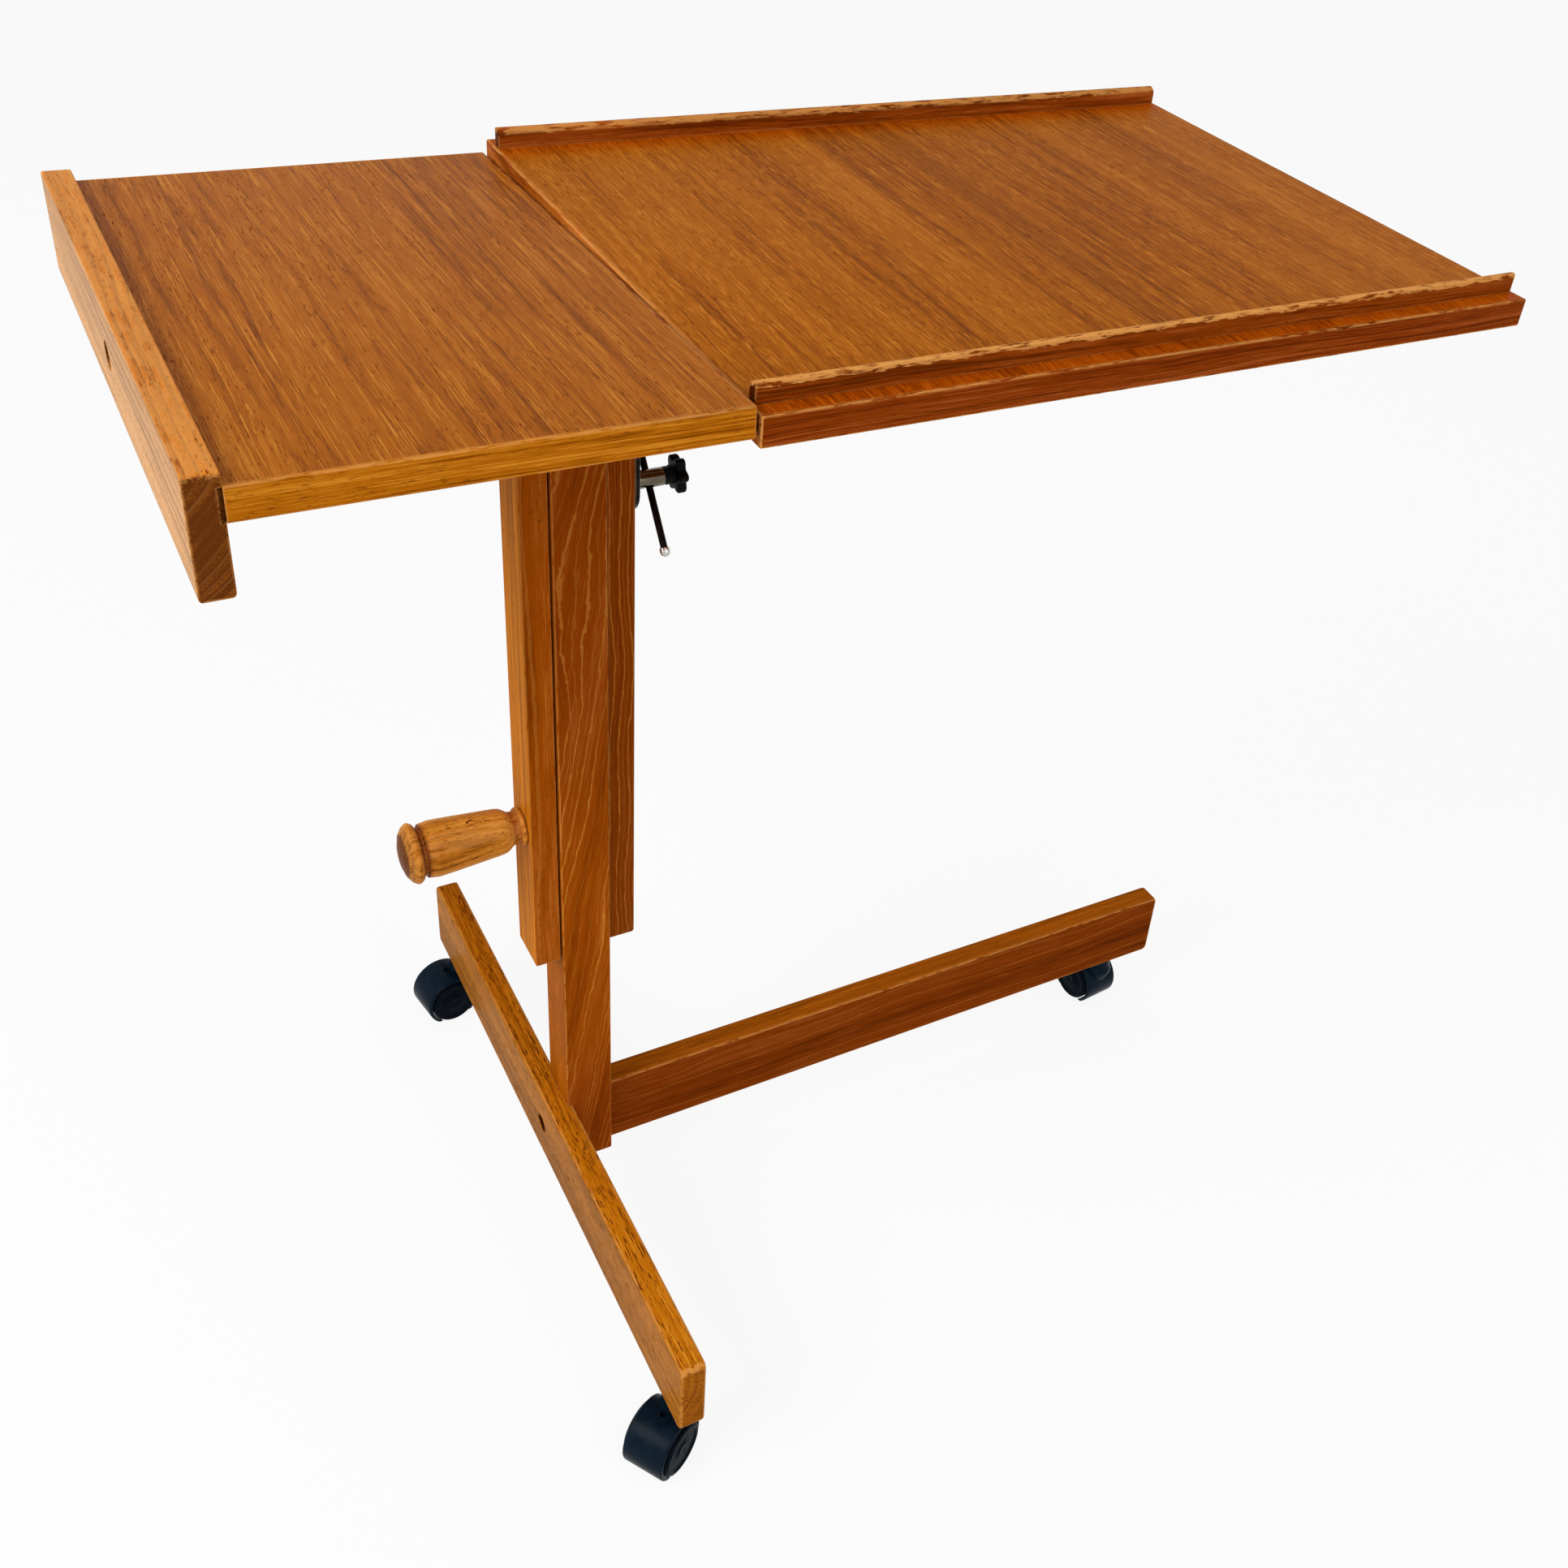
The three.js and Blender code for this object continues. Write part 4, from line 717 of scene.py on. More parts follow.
def outward(mesh):
    """Turns all faces outwards."""
    work = bmesh.new()
    work.from_mesh(mesh)
    bmesh.ops.remove_doubles(work, verts=work.verts, dist=DOUBLES)
    bmesh.ops.recalc_face_normals(work, faces=work.faces)
    work.to_mesh(mesh)
    work.free()


def place_piece(name, mesh, place, body, node_names, material=None):
    mesh.transform(place)
    outward(mesh)
    mesh.shade_smooth()
    mesh.set_sharp_from_angle(angle=SHARP)
    if material:
        mesh.materials.clear()
        mesh.materials.append(material)
    piece = new_object(name, mesh)
    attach(piece, body)
    if node_names:
        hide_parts(*node_names)
    return piece


def joint_place(name):
    joint = next(joint for joint in frame["joints"] if joint["name"] == name)
    return Vector(joint["pos_m"])


# %% [markdown]
# The clamp handle
#
# The handle is turned from one piece: a small bead against the rail, a cove, a long swelling
# grip, a groove and a domed cap. Its template was measured in the photograph. The bore for the
# bolt is part of the same line, which walks in and out of the wood at the rail's end. The cove
# and the groove are darker, so a dark zone starts and ends beside each.

# %% Clamp handle
HANDLE_LENGTH = 85 * MM
HANDLE_RADIUS = 21 * MM
HANDLE_TEMPLATE = [
    (0.49, 0.0), (0.49, 0.2), (0.19, 0.2), (0.19, 0.295), (0.0, 0.295), (0.0, 0.61),
    (0.012, 0.645), (0.026, 0.662), (0.045, 0.635), (0.056, 0.57), (0.083, 0.548),
    (0.112, 0.59), (0.135, 0.668), (0.165, 0.738), (0.206, 0.772), (0.26, 0.79),
    (0.42, 0.842), (0.58, 0.892), (0.729, 0.929), (0.745, 0.919), (0.812, 0.88), (0.822, 0.79),
    (0.842, 0.80), (0.858, 0.93), (0.885, 1.0), (0.9, 0.995), (0.93, 0.92), (0.965, 0.72),
    (0.988, 0.42), (1.0, 0.0),
]
GROOVE_SHARES = (0.075, 0.832)
BAND_NEAR, BAND_FAR = 2 * MM, 4 * MM
GROOVE_DARK = (0.62, 0.48, 0.5, 1)
GROOVE_UNDO = (1.61, 2.08, 2.0, 1)
handle_at = joint_place("clamp_handle_turn")
groove_bands = []
# A band round each groove is made darker, and the colour comes back beyond it
for share in GROOVE_SHARES:
    groove = handle_at.x - share * HANDLE_LENGTH
    groove_bands.append((0, groove + BAND_FAR, groove + BAND_NEAR, GROOVE_DARK))
    groove_bands.append((0, groove - BAND_NEAR, groove - BAND_FAR, GROOVE_UNDO))
HANDLE_WOOD = {
    "Ring spacing": 4.0, "Ring line": 0.3, "Stripe": 1.6, "Pores": 1.0, "Grain width": 0.9,
    "shine": 0.03, "zones": groove_bands,
}
handle_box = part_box("clamp_handle")
handle_wood = timber("handle_teak", "x", (14, 30), "handle", handle_box, **HANDLE_WOOD)
handle_tree = make_lathe("turned_handle", HANDLE_TEMPLATE, HANDLE_LENGTH, HANDLE_RADIUS)
handle_inputs = {"Rings": 256, "Sides": 97, "Material": handle_wood}
handle_mesh = run_tree("handle", handle_tree, handle_inputs)
turn = Matrix.Translation(handle_at) @ Matrix.Rotation(math.pi, 4, "Z")
handle = place_piece("handle", handle_mesh, turn, "clamp_handle", ["clamp_handle"])
print("handle faces", len(handle.data.polygons))

# %% [markdown]
# The star knob
#
# The same lathe makes the knob: a hub towards the sleeve, then a head with six round lobes.

# %% Star knob
KNOB_LENGTH = 13 * MM
KNOB_RADIUS = 11 * MM
LOBE_HEIGHT = 1.7 * MM
KNOB_TEMPLATE = [
    (0.0, 0.0), (0.0, 0.50), (0.03, 0.527), (0.46, 0.527), (0.5, 0.56), (0.5, 0.86), (0.515, 0.92),
    (0.545, 0.97), (0.59, 1.0), (0.90, 1.0), (0.95, 0.97), (0.985, 0.92), (1.0, 0.86), (1.0, 0.5),
    (0.96, 0.46), (0.96, 0.0),
]
knob_tree = make_lathe("star_knob", KNOB_TEMPLATE, KNOB_LENGTH, KNOB_RADIUS)
knob_inputs = {"Lobe height": LOBE_HEIGHT, "Lobes": 6, "Rings": 160, "Sides": 121}
knob_mesh = run_tree("knob", knob_tree, {**knob_inputs, "Material": knob_plastic})
sleeve_middle = joint_place("star_knob_turn")
rod_top = joint_place("stay_rod_turn")
lean = math.atan2(rod_top.y - sleeve_middle.y, rod_top.z - sleeve_middle.z)
knob_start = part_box("star_knob")[0].x
knob_place = (
    Matrix.Translation((knob_start, sleeve_middle.y, sleeve_middle.z))
    @ Matrix.Rotation(-lean, 4, "X")
    @ Matrix.Rotation(math.pi / 2, 4, "X")
)
place_piece("knob", knob_mesh, knob_place, "star_knob", ["star_knob"])
print("lean of the rod", round(math.degrees(lean), 2), "degrees")

# %% [markdown]
# Bars, sleeves and wheels
#
# The other round pieces have crisp corners, so a short mesh lathe is enough: it spins a list of
# places along and out about the X axis, in millimetres and mostly measured from one end. Holes
# across a piece are cut with a Boolean modifier, whose result is kept as a plain mesh.

# %% A mesh lathe and a cutter
def solid(corners, faces):
    """Mesh from corners in millimetres. Corners in one place become one."""
    mesh = bpy.data.meshes.new("solid")
    mesh.from_pydata([tuple(value * MM for value in corner) for corner in corners], [], faces)
    outward(mesh)
    return mesh


def spun(profile, sides=64):
    """Mesh turned about X from (along, out) points in millimetres."""
    angles = [2 * math.pi * step / sides for step in range(sides)]
    corners = []
    for along, out in profile:
        corners += [(along, out * math.cos(angle), out * math.sin(angle)) for angle in angles]
    faces = []
    for ring in range(0, len(corners) - sides, sides):
        for step in range(sides):
            first, second = ring + step, ring + (step + 1) % sides
            faces.append((first, second, second + sides, first + sides))
    return solid(corners, faces)


def brick(low, high):
    """Box mesh between two corners in millimetres."""
    faces = [(0, 1, 3, 2), (4, 6, 7, 5), (0, 4, 5, 1), (2, 3, 7, 6), (0, 2, 6, 4), (1, 5, 7, 3)]
    return solid(list(itertools.product(*zip(low, high))), faces)


def moved(mesh, *steps):
    for step in steps:
        mesh.transform(step)
    return mesh


def shaped(base, *tools):
    """Joins or cuts the base with each (operation, mesh) pair."""
    target = new_object("target", base)
    for operation, mesh in tools:
        tool = new_object("tool", mesh)
        modifier = target.modifiers.new("cut", "BOOLEAN")
        modifier.operation = operation
        modifier.solver = "EXACT"
        modifier.object = tool
        graph = bpy.context.evaluated_depsgraph_get()
        result = bpy.data.meshes.new_from_object(target.evaluated_get(graph))
        target.modifiers.clear()
        target.data = result
        bpy.data.objects.remove(tool)
    mesh = target.data
    bpy.data.objects.remove(target)
    return mesh


# %% Profiles and turns
X_TO_Y = Matrix.Rotation(math.pi / 2, 4, "Z")
X_TO_Z = Matrix.Rotation(-math.pi / 2, 4, "Y")
X_TO_DOWN = Matrix.Rotation(math.pi / 2, 4, "Y")


def shifted(start, points):
    return [(start + along, out) for along, out in points]


def mirrored(start, end, points):
    """Profile whose two ends are alike. Each point gives its inset from the end."""
    return shifted(start, points) + [(end - inset, out) for inset, out in reversed(points)]


def tube(start, end, points):
    """Mirrored profile that closes on itself, so that it has a bore."""
    profile = mirrored(start, end, points)
    return profile + profile[:1]


def bar(radius, start, end, edge=0.0):
    """Profile of a plain bar, with its ends broken by edge."""
    corner = [(0, radius - edge), (edge, radius)] if edge else [(0, radius)]
    return mirrored(start, end, [(0, 0), *corner])


def dome(start, rise, radius, steps=8):
    """Profile of a round end, from its rim to its crown."""
    angles = [step / steps * math.pi / 2 for step in range(steps + 1)]
    return [(start + rise * math.sin(a), round(radius * math.cos(a), 9)) for a in angles]


def span_of(name):
    return [corner.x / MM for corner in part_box(name)]


# %% [markdown]
# The tilt shaft and its fittings
#
# The tray hangs on a steel tube that is gripped by the apron and the rails. Two collars, each
# with a hole for its set screw, keep the bearers in place, and a plastic plug closes the tube's
# open end. The bolt under the clamp handle has a low domed head.

# %% Shaft, collars, plug and bolt
TUBE_END = [(0, 6.0), (0, 7.6), (0.4, 8.0)]
COLLAR_END = [(0, 8.1), (0, 12.2), (0.3, 12.7), (0.8, 13.0)]
SET_SCREW_HOLE = bar(2.2, 10, 16)
PLUG_START = [(0, 0), (0, 5.4), (0.5, 5.9)]
PLUG_GAP = 0.1
PLUG_FLANGE = [(0, 5.9), (0, 7.9), (0.9, 7.9), (1.6, 7.4), (2.1, 6.4)]
PLUG_FACE = 4.6
BOLT_START = [(0, 0), (0, 3.4), (0.6, 4)]
BOLT_RADIUS, HEAD_RADIUS, HEAD_RISE, HEAD_EDGE = 4, 10, 4, 0.3


def on_head(name, mesh, at, node_name, material):
    """A piece of the head turned about the line through this place."""
    place = Matrix.Translation((0, at.y, at.z))
    return place_piece(name, mesh, place, "head", [node_name], material)


axis = joint_place("tray_tilt")
shaft_low, shaft_high = span_of("tilt_shaft")
shaft = spun(tube(shaft_low, shaft_high, TUBE_END), 72)
on_head("shaft", shaft, axis, "tilt_shaft", polished)
for name in ("shaft_collar_inner", "shaft_collar_outer"):
    low, high = span_of(name)
    middle = Matrix.Translation(((low + high) / 2 * MM, 0, 0))
    hole = moved(spun(SET_SCREW_HOLE, 24), X_TO_Y, middle)
    collar = shaped(spun(tube(low, high, COLLAR_END), 72), ("DIFFERENCE", hole))
    on_head(name + "_turned", collar, axis, name, zinc)
plug_low, plug_high = span_of("shaft_plug")
plug = shifted(plug_low, PLUG_START) + shifted(shaft_high + PLUG_GAP, PLUG_FLANGE)
plug += [(plug_high, PLUG_FACE), (plug_high, 0)]
on_head("plug", spun(plug, 48), axis, "shaft_plug", hood_plastic)
bolt_low, bolt_high = span_of("clamp_bolt")
seat = bolt_high - HEAD_RISE
bolt = shifted(bolt_low, BOLT_START) + [(seat, BOLT_RADIUS), (seat, HEAD_RADIUS - HEAD_EDGE)]
bolt += dome(seat + HEAD_EDGE, HEAD_RISE - HEAD_EDGE, HEAD_RADIUS)
on_head("carriage_bolt", spun(bolt), handle_at, "clamp_bolt", zinc)
print("shaft from", round(shaft_low, 1), "to", round(shaft_high, 1), "mm")

# %% [markdown]
# The stay: sleeve, rod and tip
#
# The sleeve turns in the plate and has a hole across it, through which the rod slides. The rod
# hangs from a pin under the tray and ends in a bright rounded tip. Sleeve and rod are made
# upright and then leaned together, so the rod always runs through the hole.

# %% Stay
SLEEVE_START = [(0, 0), (0, 3.6), (0.4, 4)]
SLEEVE_SHOULDER = [(0.3, 4), (0.3, 5.7), (0.6, 6)]
SLEEVE_MOUTH = [(-0.6, 6), (-0.2, 5.8), (0, 5.4), (0, 3.3)]
SCREW_BORE = 3.3
CROSS_HOLE = bar(3.4, -12, 12)
ROD_RADIUS, ROD_EDGE, ROD_PAST_SLEEVE = 2.3, 0.3, 51
EYE = bar(4.5, -2.7, 2.7, edge=0.5)
EYE_HOLE = bar(2.3, -6, 6)
TIP_LENGTH, TIP_RADIUS, TIP_GRIP = 6, 3.3, 4
TIP_START = [(4.1, 0), (4.1, 2.4), (0, 2.4), (0.1, 3.0), (0.5, TIP_RADIUS)]

leaned = Matrix.Rotation(-lean, 4, "X")
sleeve_low, sleeve_high = span_of("stay_sleeve")
rod_x = rod_top.x / MM
sleeve = shifted(sleeve_low, SLEEVE_START) + shifted(span_of("stay_plate")[1], SLEEVE_SHOULDER)
sleeve += shifted(sleeve_high, SLEEVE_MOUTH) + [(rod_x, SCREW_BORE), (rod_x, 0)]
hole = moved(spun(CROSS_HOLE, 48), X_TO_Z, Matrix.Translation((rod_x * MM, 0, 0)))
sleeve = shaped(spun(sleeve, 96), ("DIFFERENCE", hole))
at = Matrix.Translation((0, sleeve_middle.y, sleeve_middle.z)) @ leaned
place_piece("sleeve", sleeve, at, "stay_sleeve", ["stay_sleeve"], oiled)

span = (rod_top - Vector((rod_top.x, sleeve_middle.y, sleeve_middle.z))).length / MM
rod_end = span + ROD_PAST_SLEEVE
tip_start = rod_end - TIP_LENGTH
rod = moved(spun(bar(ROD_RADIUS, 0, tip_start + TIP_GRIP, edge=ROD_EDGE), 48), X_TO_DOWN)
rod = shaped(rod, ("UNION", spun(EYE)), ("DIFFERENCE", spun(EYE_HOLE, 32)))
at = Matrix.Translation(rod_top) @ leaned
place_piece("rod", rod, at, "stay_rod", ["stay_rod"], dark_steel)
tip = shifted(tip_start, TIP_START) + dome(rod_end - TIP_RADIUS, TIP_RADIUS, TIP_RADIUS)
tip = moved(spun(tip, 48), X_TO_DOWN)
place_piece("rod_tip", tip, at, "stay_rod", ["stay_rod_tip"], polished)
print("rod", round(rod_end, 1), "mm from its pin")

# %% [markdown]
# Screws by the dozen
#
# Round-head slotted screws hold the bearers, the apron, the bracket and the plate. Geometry Nodes
# cut one head from a sphere, with a slot across it, and stand it on every point of a small cloud,
# turned to the point's own direction and then by chance about its axis, as screws stop wherever
# they are tight. The quick solver would lose shapes of a millimetre, so the exact one cuts.

# %% Screws by Geometry Nodes
SCREW_SIZES = {"Head radius": 3.4 * MM, "Head height": 2.0 * MM, "Slot width": 0.9 * MM}
SCREW_SEED = 3


def make_screw_tree():
    tree = bpy.data.node_groups.new("screws", "GeometryNodeTree")
    add_sockets(tree, "Geometry", {"Points": None})
    add_sockets(tree, "Float", SCREW_SIZES)
    add_sockets(tree, "Int", {"Seed": SCREW_SEED})
    add_sockets(tree, "Material", {"Material": None})
    add_sockets(tree, "Geometry", {"Geometry": None}, "OUTPUT")
    given = tree.nodes.new("NodeGroupInput").outputs
    radius, rise, width = (given[key] for key in SCREW_SIZES)

    def placed(mesh, socket, x, y, z):
        values = {"Geometry": mesh, socket: joined(tree, x, y, z)}
        return node(tree, "GeometryNodeTransform", values).outputs[0]

    def block(x, y, z):
        return node(tree, "GeometryNodeMeshCube", {"Size": joined(tree, x, y, z)}).outputs[0]

    ball = node(tree, "GeometryNodeMeshUVSphere", {"Segments": 40, "Rings": 24, "Radius": 1.0})
    cap = placed(ball.outputs["Mesh"], "Scale", radius, radius, rise)
    wide = times(tree, radius, 4.0)
    lower = placed(block(wide, wide, wide), "Translation", 0.0, 0.0, times(tree, wide, -0.5))
    slot = placed(block(wide, width, rise), "Translation", 0.0, 0.0, rise)
    head = node(tree, "GeometryNodeMeshBoolean", {"Mesh 1": cap}, operation="DIFFERENCE")
    head.solver = "EXACT"
    for tool in (lower, slot):
        tree.links.new(tool, head.inputs["Mesh 2"])
    named = {"Name": "towards"}
    towards = node(tree, "GeometryNodeInputNamedAttribute", named, data_type="FLOAT_VECTOR")
    aim = {"Vector": towards.outputs[0]}
    aimed = node(tree, "FunctionNodeAlignRotationToVector", aim, axis="Z").outputs[0]
    limits = {2: 0.0, 3: math.pi, "Seed": given["Seed"]}
    chance = node(tree, "FunctionNodeRandomValue", limits, data_type="FLOAT").outputs[1]
    spin = node(tree, "FunctionNodeAxisAngleToRotation", {"Axis": (0, 0, 1), "Angle": chance})
    both = {"Rotation": aimed, "Rotate By": spin.outputs[0]}
    turned = node(tree, "FunctionNodeRotateRotation", both, rotation_space="LOCAL").outputs[0]
    stand = {"Points": given["Points"], "Instance": head.outputs["Mesh"], "Rotation": turned}
    stood = node(tree, "GeometryNodeInstanceOnPoints", stand).outputs[0]
    return end_tree(tree, stood, given["Material"])


def screw_points(places):
    """A cloud of points in metres, each with the direction in which its screw head faces."""
    mesh = bpy.data.meshes.new("points")
    mesh.from_pydata([place for place, _ in places], [], [])
    towards = mesh.attributes.new("towards", "FLOAT_VECTOR", "POINT")
    for index, (_, direction) in enumerate(places):
        towards.data[index].vector = direction
    return mesh


# %% Where the screws stand
DOWN = Vector((0, 0, -1))
RIGHTWARDS = Vector((1, 0, 0))
TRAY_SLOPE = Matrix.Rotation(math.radians(1.95), 3, "X")
APRON_SCREW_SHARES = (0.14, 0.5, 0.8)
PLATE_SCREW_RISES = (45 * MM, 92 * MM)
BEARER_SCREW_REACH, BEARER_DROP = 26 * MM, 14 * MM
BRACKET_REACH, BRACKET_SCREW_REACH, FLANGE_RISE = 100 * MM, 12.5 * MM, 19.4 * MM


def under_tray(x, along, rise):
    """A screw under the sloping tray, so far along and up from the shaft's axis."""
    off = TRAY_SLOPE @ Vector((0, along, rise))
    return Vector((x, axis.y + off.y, axis.z + off.z)), TRAY_SLOPE @ DOWN


plate_low, plate_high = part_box("stay_plate")
apron_low, apron_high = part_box("apron")
head_screws = []
for share in APRON_SCREW_SHARES:
    x = apron_low.x + share * (apron_high.x - apron_low.x)
    head_screws.append((Vector((x, middle_of("apron").y, apron_low.z)), DOWN))
for rise in PLATE_SCREW_RISES:
    head_screws.append((Vector((plate_high.x, axis.y, plate_low.z + rise)), RIGHTWARDS))
tray_screws = []
for bearer in ("tray_bearer_inner", "tray_bearer_outer"):
    for along in (-BEARER_SCREW_REACH, BEARER_SCREW_REACH):
        tray_screws.append(under_tray(middle_of(bearer).x, along, -BEARER_DROP))
for along in (-BRACKET_SCREW_REACH, BRACKET_SCREW_REACH):
    tray_screws.append(under_tray(rod_top.x, BRACKET_REACH + along, FLANGE_RISE))
screw_tree = make_screw_tree()
for body, places in (("head", head_screws), ("tray", tray_screws)):
    screw_inputs = {"Seed": SCREW_SEED, "Material": zinc}
    screws = run_tree(body + "_screws", screw_tree, screw_inputs, screw_points(places))
    place_piece(body + "_screw_heads", screws, Matrix.Identity(4), body, [], zinc)
    print(body, "screws", len(places), "faces", len(screws.polygons))

# %% [markdown]
# The casters
#
# A twin-wheel caster has a hood like a short drum, open below, with a neck that turns on the
# stem. Two wheels sit in the drum, one each side of a web. Rim and web are one turned line, and
# Booleans only add the neck and cut the opening, the hollow under the web, the holes and a dimple.

# %% Casters
OVERRUN = 60
WHEEL_RISE, TRAIL = 19.829, 16.0
HOOD_TOP, STEM_TOP = 52.529, 86.829
HEADINGS = {"near": 212, "far": 190, "long": 96}
DRUM = {"radius": 24.0, "half": 16.68, "edge": 1.6, "inside": 21.5, "web": 4.7}
NECK = [
    (-25, 0), (-25, 7), (-14.5, 11), (-12, 11), (-9.5, 10.4), (-7.5, 9.5), (-6, 9), (-0.5, 9),
    (0, 8.5), (0, 0),
]
NECK_GAP = 1.2
HOOD_BOTTOM = 2.4
HOLLOW_GAP, HOLLOW_WALL, HOLLOW_DROP = 0.5, 0.3, 9
AXLE_RADIUS, AXLE_HALF, AXLE_EDGE, AXLE_GAP = 3, 16.3, 0.4, 0.3
STEM_START = [(-14.5, 0), (-14.5, 4.6), (-14.1, 5)]
STEM_END = [(-8, 5), (-7.6, 4.2), (-5.9, 4.2), (-5.5, 5), (-3, 5), (0, 2.5), (0, 0)]
STEM_HOLE_RADIUS, STEM_HOLE_DEPTH = 5.1, 14.6
DIMPLE_RADIUS, DIMPLE_RISE, DIMPLE_OFF = 3.0, 20, 13.5
WHEEL_INNER, WHEEL_OUTER = 5.1, 19.1
WHEEL_BORE, WHEEL_BORE_END = 3.3, 2.5
INNER_EDGE = [(0, -0.7), (0.2, -0.2), (0.7, 0)]
OUTER_EDGE = [
    (-2.2, 0), (-1.3, -0.2), (-0.6, -0.7), (-0.2, -1.4), (0, -2.3), (0, -3.6), (-0.3, -4.1),
    (-0.9, -4.5),
]
BOSS = [(-0.9, 7.2), (-0.6, 6.6), (-0.1, 6.2), (0, 5.6), (0, 2.2), (-0.3, 1.6), (-0.3, 0)]


def at_axle(mesh):
    return moved(mesh, X_TO_Y, Matrix.Translation((TRAIL * MM, 0, WHEEL_RISE * MM)))


def drum_profile(radius, half, edge, inside, web, steps=4):
    """Profile about X of a web that carries a rim with rounded edges."""
    angles = [step / steps * math.pi / 2 for step in range(steps + 1)]
    rim = [(edge - edge * math.cos(a), radius - edge + edge * math.sin(a)) for a in angles]
    return mirrored(-half, half, [(half - web, 0), (half - web, inside), (0, inside), *rim])


def make_hood():
    inside, web = DRUM["inside"], DRUM["web"] + HOLLOW_WALL
    drum = at_axle(spun(drum_profile(**DRUM), 128))
    room = at_axle(spun(bar(inside + NECK_GAP, -OVERRUN, OVERRUN), 128))
    neck = moved(spun(shifted(HOOD_TOP, NECK), 64), X_TO_Z)
    hollow = at_axle(spun(bar(inside + HOLLOW_GAP, -web, web), 128))
    under = brick((-OVERRUN,) * 3, (OVERRUN, OVERRUN, WHEEL_RISE - HOLLOW_DROP))
    stem = bar(STEM_HOLE_RADIUS, HOOD_TOP - STEM_HOLE_DEPTH, HOOD_TOP + OVERRUN)
    dimple = bar(DIMPLE_RADIUS, WHEEL_RISE + DIMPLE_RISE, WHEEL_RISE + OVERRUN)
    cuts = [
        brick((-OVERRUN,) * 3, (OVERRUN, OVERRUN, HOOD_BOTTOM)),
        shaped(hollow, ("INTERSECT", under)),
        at_axle(spun(bar(AXLE_RADIUS + AXLE_GAP, -OVERRUN, OVERRUN), 32)),
        moved(spun(stem, 32), X_TO_Z),
        moved(spun(dimple, 32), X_TO_Z, Matrix.Translation((DIMPLE_OFF * MM, 0, 0))),
    ]
    neck = shaped(neck, ("DIFFERENCE", room))
    return shaped(drum, ("UNION", neck), *[("DIFFERENCE", mesh) for mesh in cuts])


def make_wheel():
    """From the hub's bore out over the tread to the dished outer face."""
    bore_end = WHEEL_OUTER - WHEEL_BORE_END
    profile = [(bore_end, 0), (bore_end, WHEEL_BORE), (WHEEL_INNER, WHEEL_BORE)]
    for face, edge in ((WHEEL_INNER, INNER_EDGE), (WHEEL_OUTER, OUTER_EDGE)):
        profile += [(face + along, WHEEL_RISE + out) for along, out in edge]
    return spun(profile + shifted(WHEEL_OUTER, BOSS), 96)


def make_stem():
    profile = shifted(HOOD_TOP, STEM_START) + shifted(STEM_TOP, STEM_END)
    return moved(spun(profile, 48), X_TO_Z)


def make_axle():
    return at_axle(spun(bar(AXLE_RADIUS, -AXLE_HALF, AXLE_HALF, edge=AXLE_EDGE), 32))


# %% Three casters in their places
for name, heading in HEADINGS.items():
    body = f"{name}_caster"
    at = joint_place(f"{body}_swivel")
    place = Matrix.Translation((at.x, at.y, 0)) @ Matrix.Rotation(math.radians(heading), 4, "Z")
    for part, mesh, slot, material in (
        ("hood", make_hood(), "plastic_black", hood_plastic),
        ("stem", make_stem(), "steel_zinc", zinc),
        ("axle", make_axle(), "steel_zinc", zinc),
    ):
        place_piece(f"{name}_{part}", mesh, place, body, [f"{body}_{part}"], material)
    for side, angle in (("left", 0), ("right", math.pi)):
        wheel = at_axle(moved(make_wheel(), Matrix.Rotation(angle, 4, "Z")))
        part = f"{name}_wheel_{side}"
        slot, material = "plastic_wheel", wheel_plastic
        place_piece(f"{part}_turned", wheel, place, part, [part], material)
print("casters", len(HEADINGS))

# %% [markdown]
# Floor, backdrop and light
#
# The photograph's background is plain white. A pale floor keeps a soft shadow under the casters.
# To the camera and to reflections the world is white, while it lights the table more softly. A
# large lamp at the left does most of the work, because the table's left faces are its palest.

# %% Floor and world
FLOOR_REACH = 9.0
FLOOR_GREY = (0.85, 0.85, 0.85, 1)
WHITE = (1, 1, 1, 1)
WHITE_SHARE = 0.88
WORLD_LEVEL = 0.54


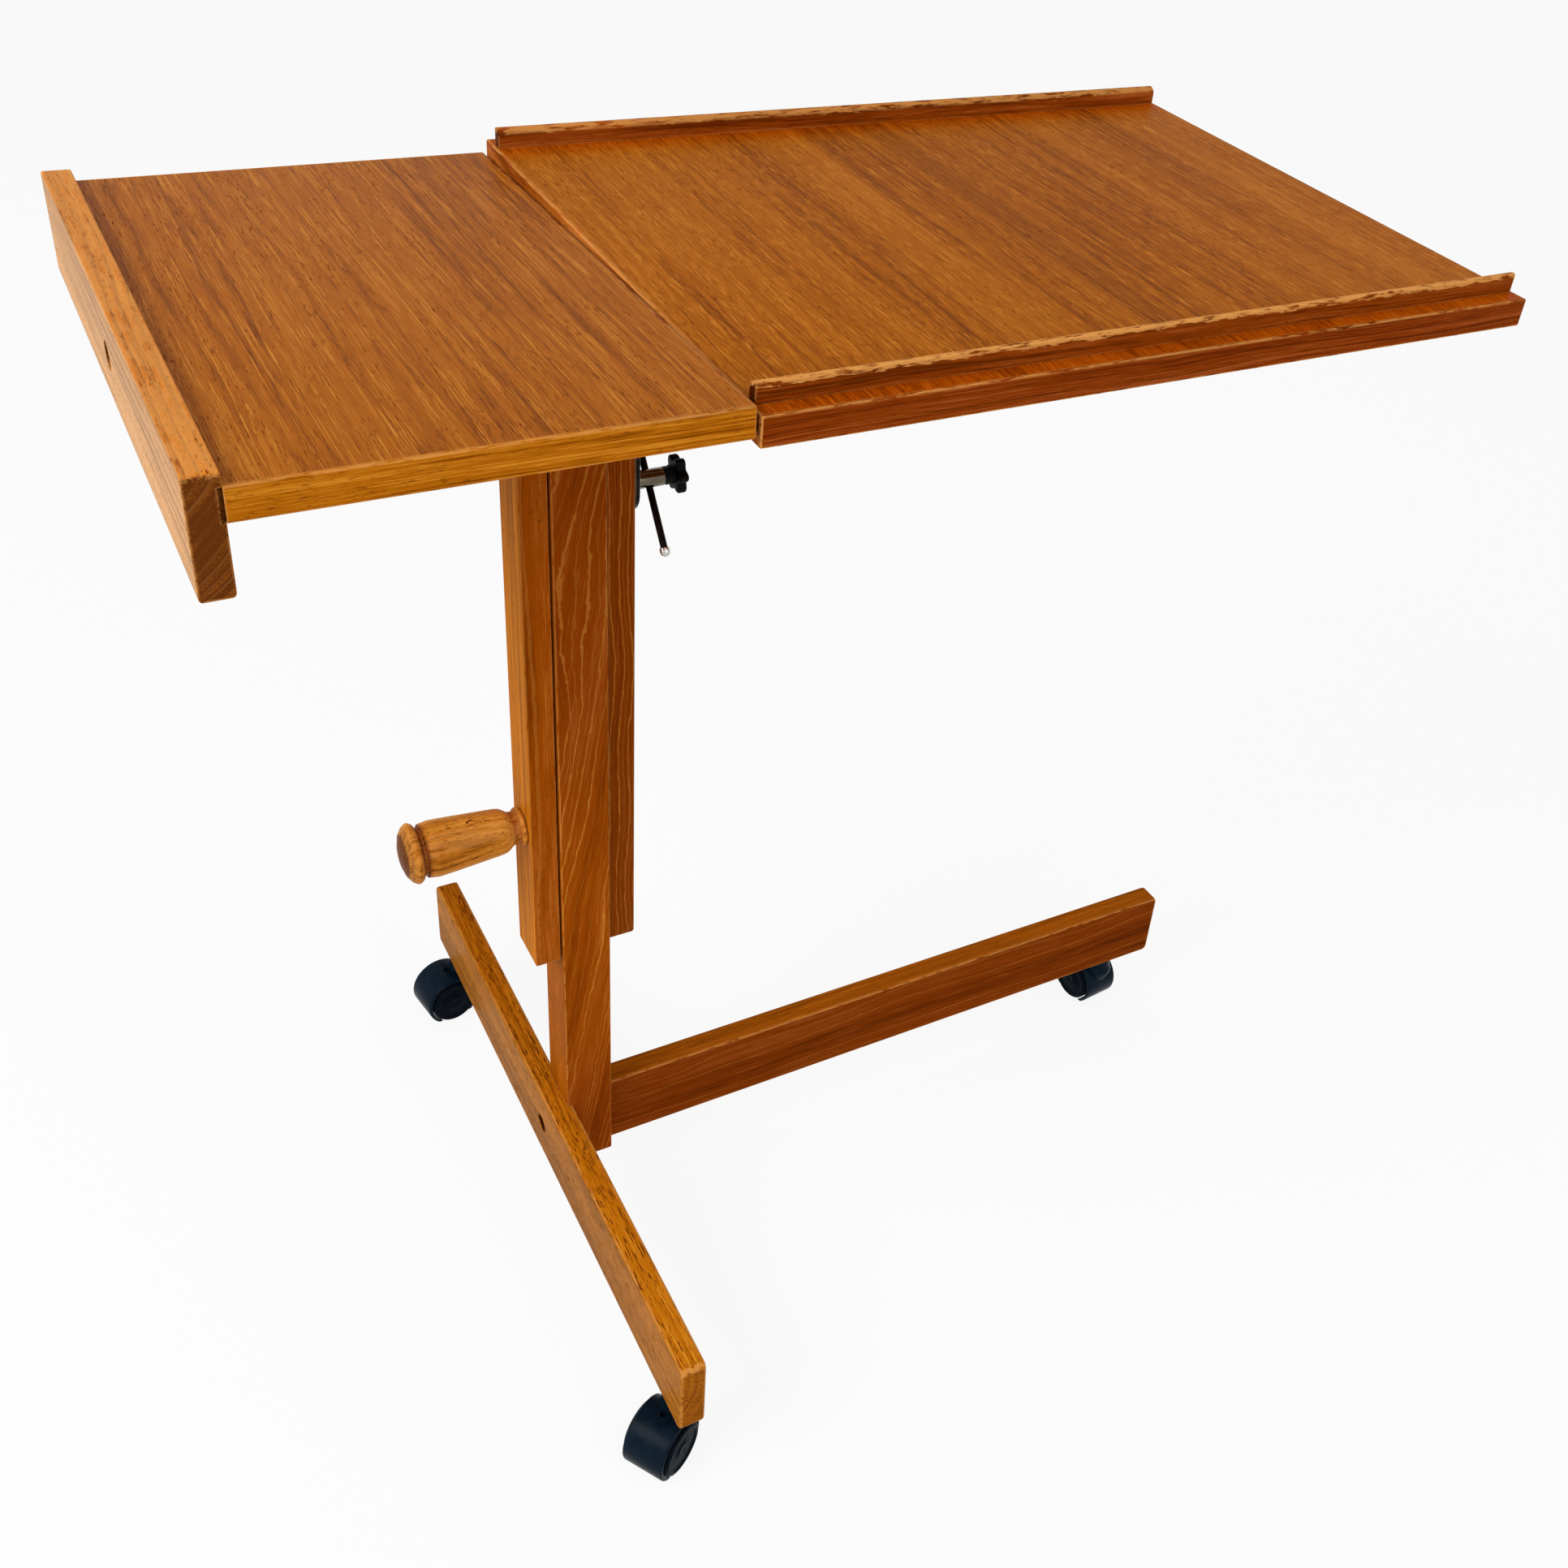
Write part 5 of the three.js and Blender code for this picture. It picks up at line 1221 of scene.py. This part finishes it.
def watched(tree):
    """1 for rays that the camera, gloss or glass sends out, and 0 for light that falls."""
    rays = node(tree, "ShaderNodeLightPath").outputs
    seen = maths(tree, "MAXIMUM", rays["Is Camera Ray"], rays["Is Glossy Ray"])
    return maths(tree, "MAXIMUM", seen, rays["Is Transmission Ray"])


def make_floor():
    mesh = bpy.data.meshes.new("floor")
    signs = ((-1, -1), (1, -1), (1, 1), (-1, 1))
    mesh.from_pydata([(x * FLOOR_REACH, y * FLOOR_REACH, 0) for x, y in signs], [], [(0, 1, 2, 3)])
    material, tree = new_material("floor")
    tree.nodes.clear()
    shade = node(tree, "ShaderNodeBsdfDiffuse", {"Color": FLOOR_GREY}).outputs[0]
    white = node(tree, "ShaderNodeEmission", {"Color": WHITE, "Strength": 1.0}).outputs[0]
    share = times(tree, watched(tree), WHITE_SHARE)
    blend = node(tree, "ShaderNodeMixShader", {0: share, 1: shade, 2: white}).outputs[0]
    node(tree, "ShaderNodeOutputMaterial", {0: blend})
    mesh.materials.append(material)
    new_object("floor", mesh)


def make_world(level):
    world = bpy.data.worlds.new("studio")
    bpy.context.scene.world = world
    world.use_nodes = True
    tree = world.node_tree
    tree.nodes.clear()
    strength = plus(tree, times(tree, watched(tree), 1 - level), level)
    light = node(tree, "ShaderNodeBackground", {"Color": WHITE, "Strength": strength}).outputs[0]
    node(tree, "ShaderNodeOutputWorld", {0: light})


make_floor()
make_world(WORLD_LEVEL)

# %% Lamps
def make_lamp(name, place, target, width, power):
    data = bpy.data.lights.new(name, "AREA")
    data.shape = "SQUARE"
    data.size = width
    data.energy = power
    lamp = new_object(name, data)
    lamp.location = place
    lamp.rotation_mode = "QUATERNION"
    lamp.rotation_quaternion = (Vector(target) - Vector(place)).to_track_quat("-Z", "Y")


make_lamp("left_lamp", place=(-2.4, -0.4, 2.3), target=(0, 0, 0.5), width=1.8, power=56)
make_lamp("front_lamp", place=(0.3, -2.8, 2.2), target=(0, 0, 0.4), width=2.0, power=28)
bpy.context.scene.view_settings.view_transform = "Standard"
print("lamps", len(bpy.data.lights))
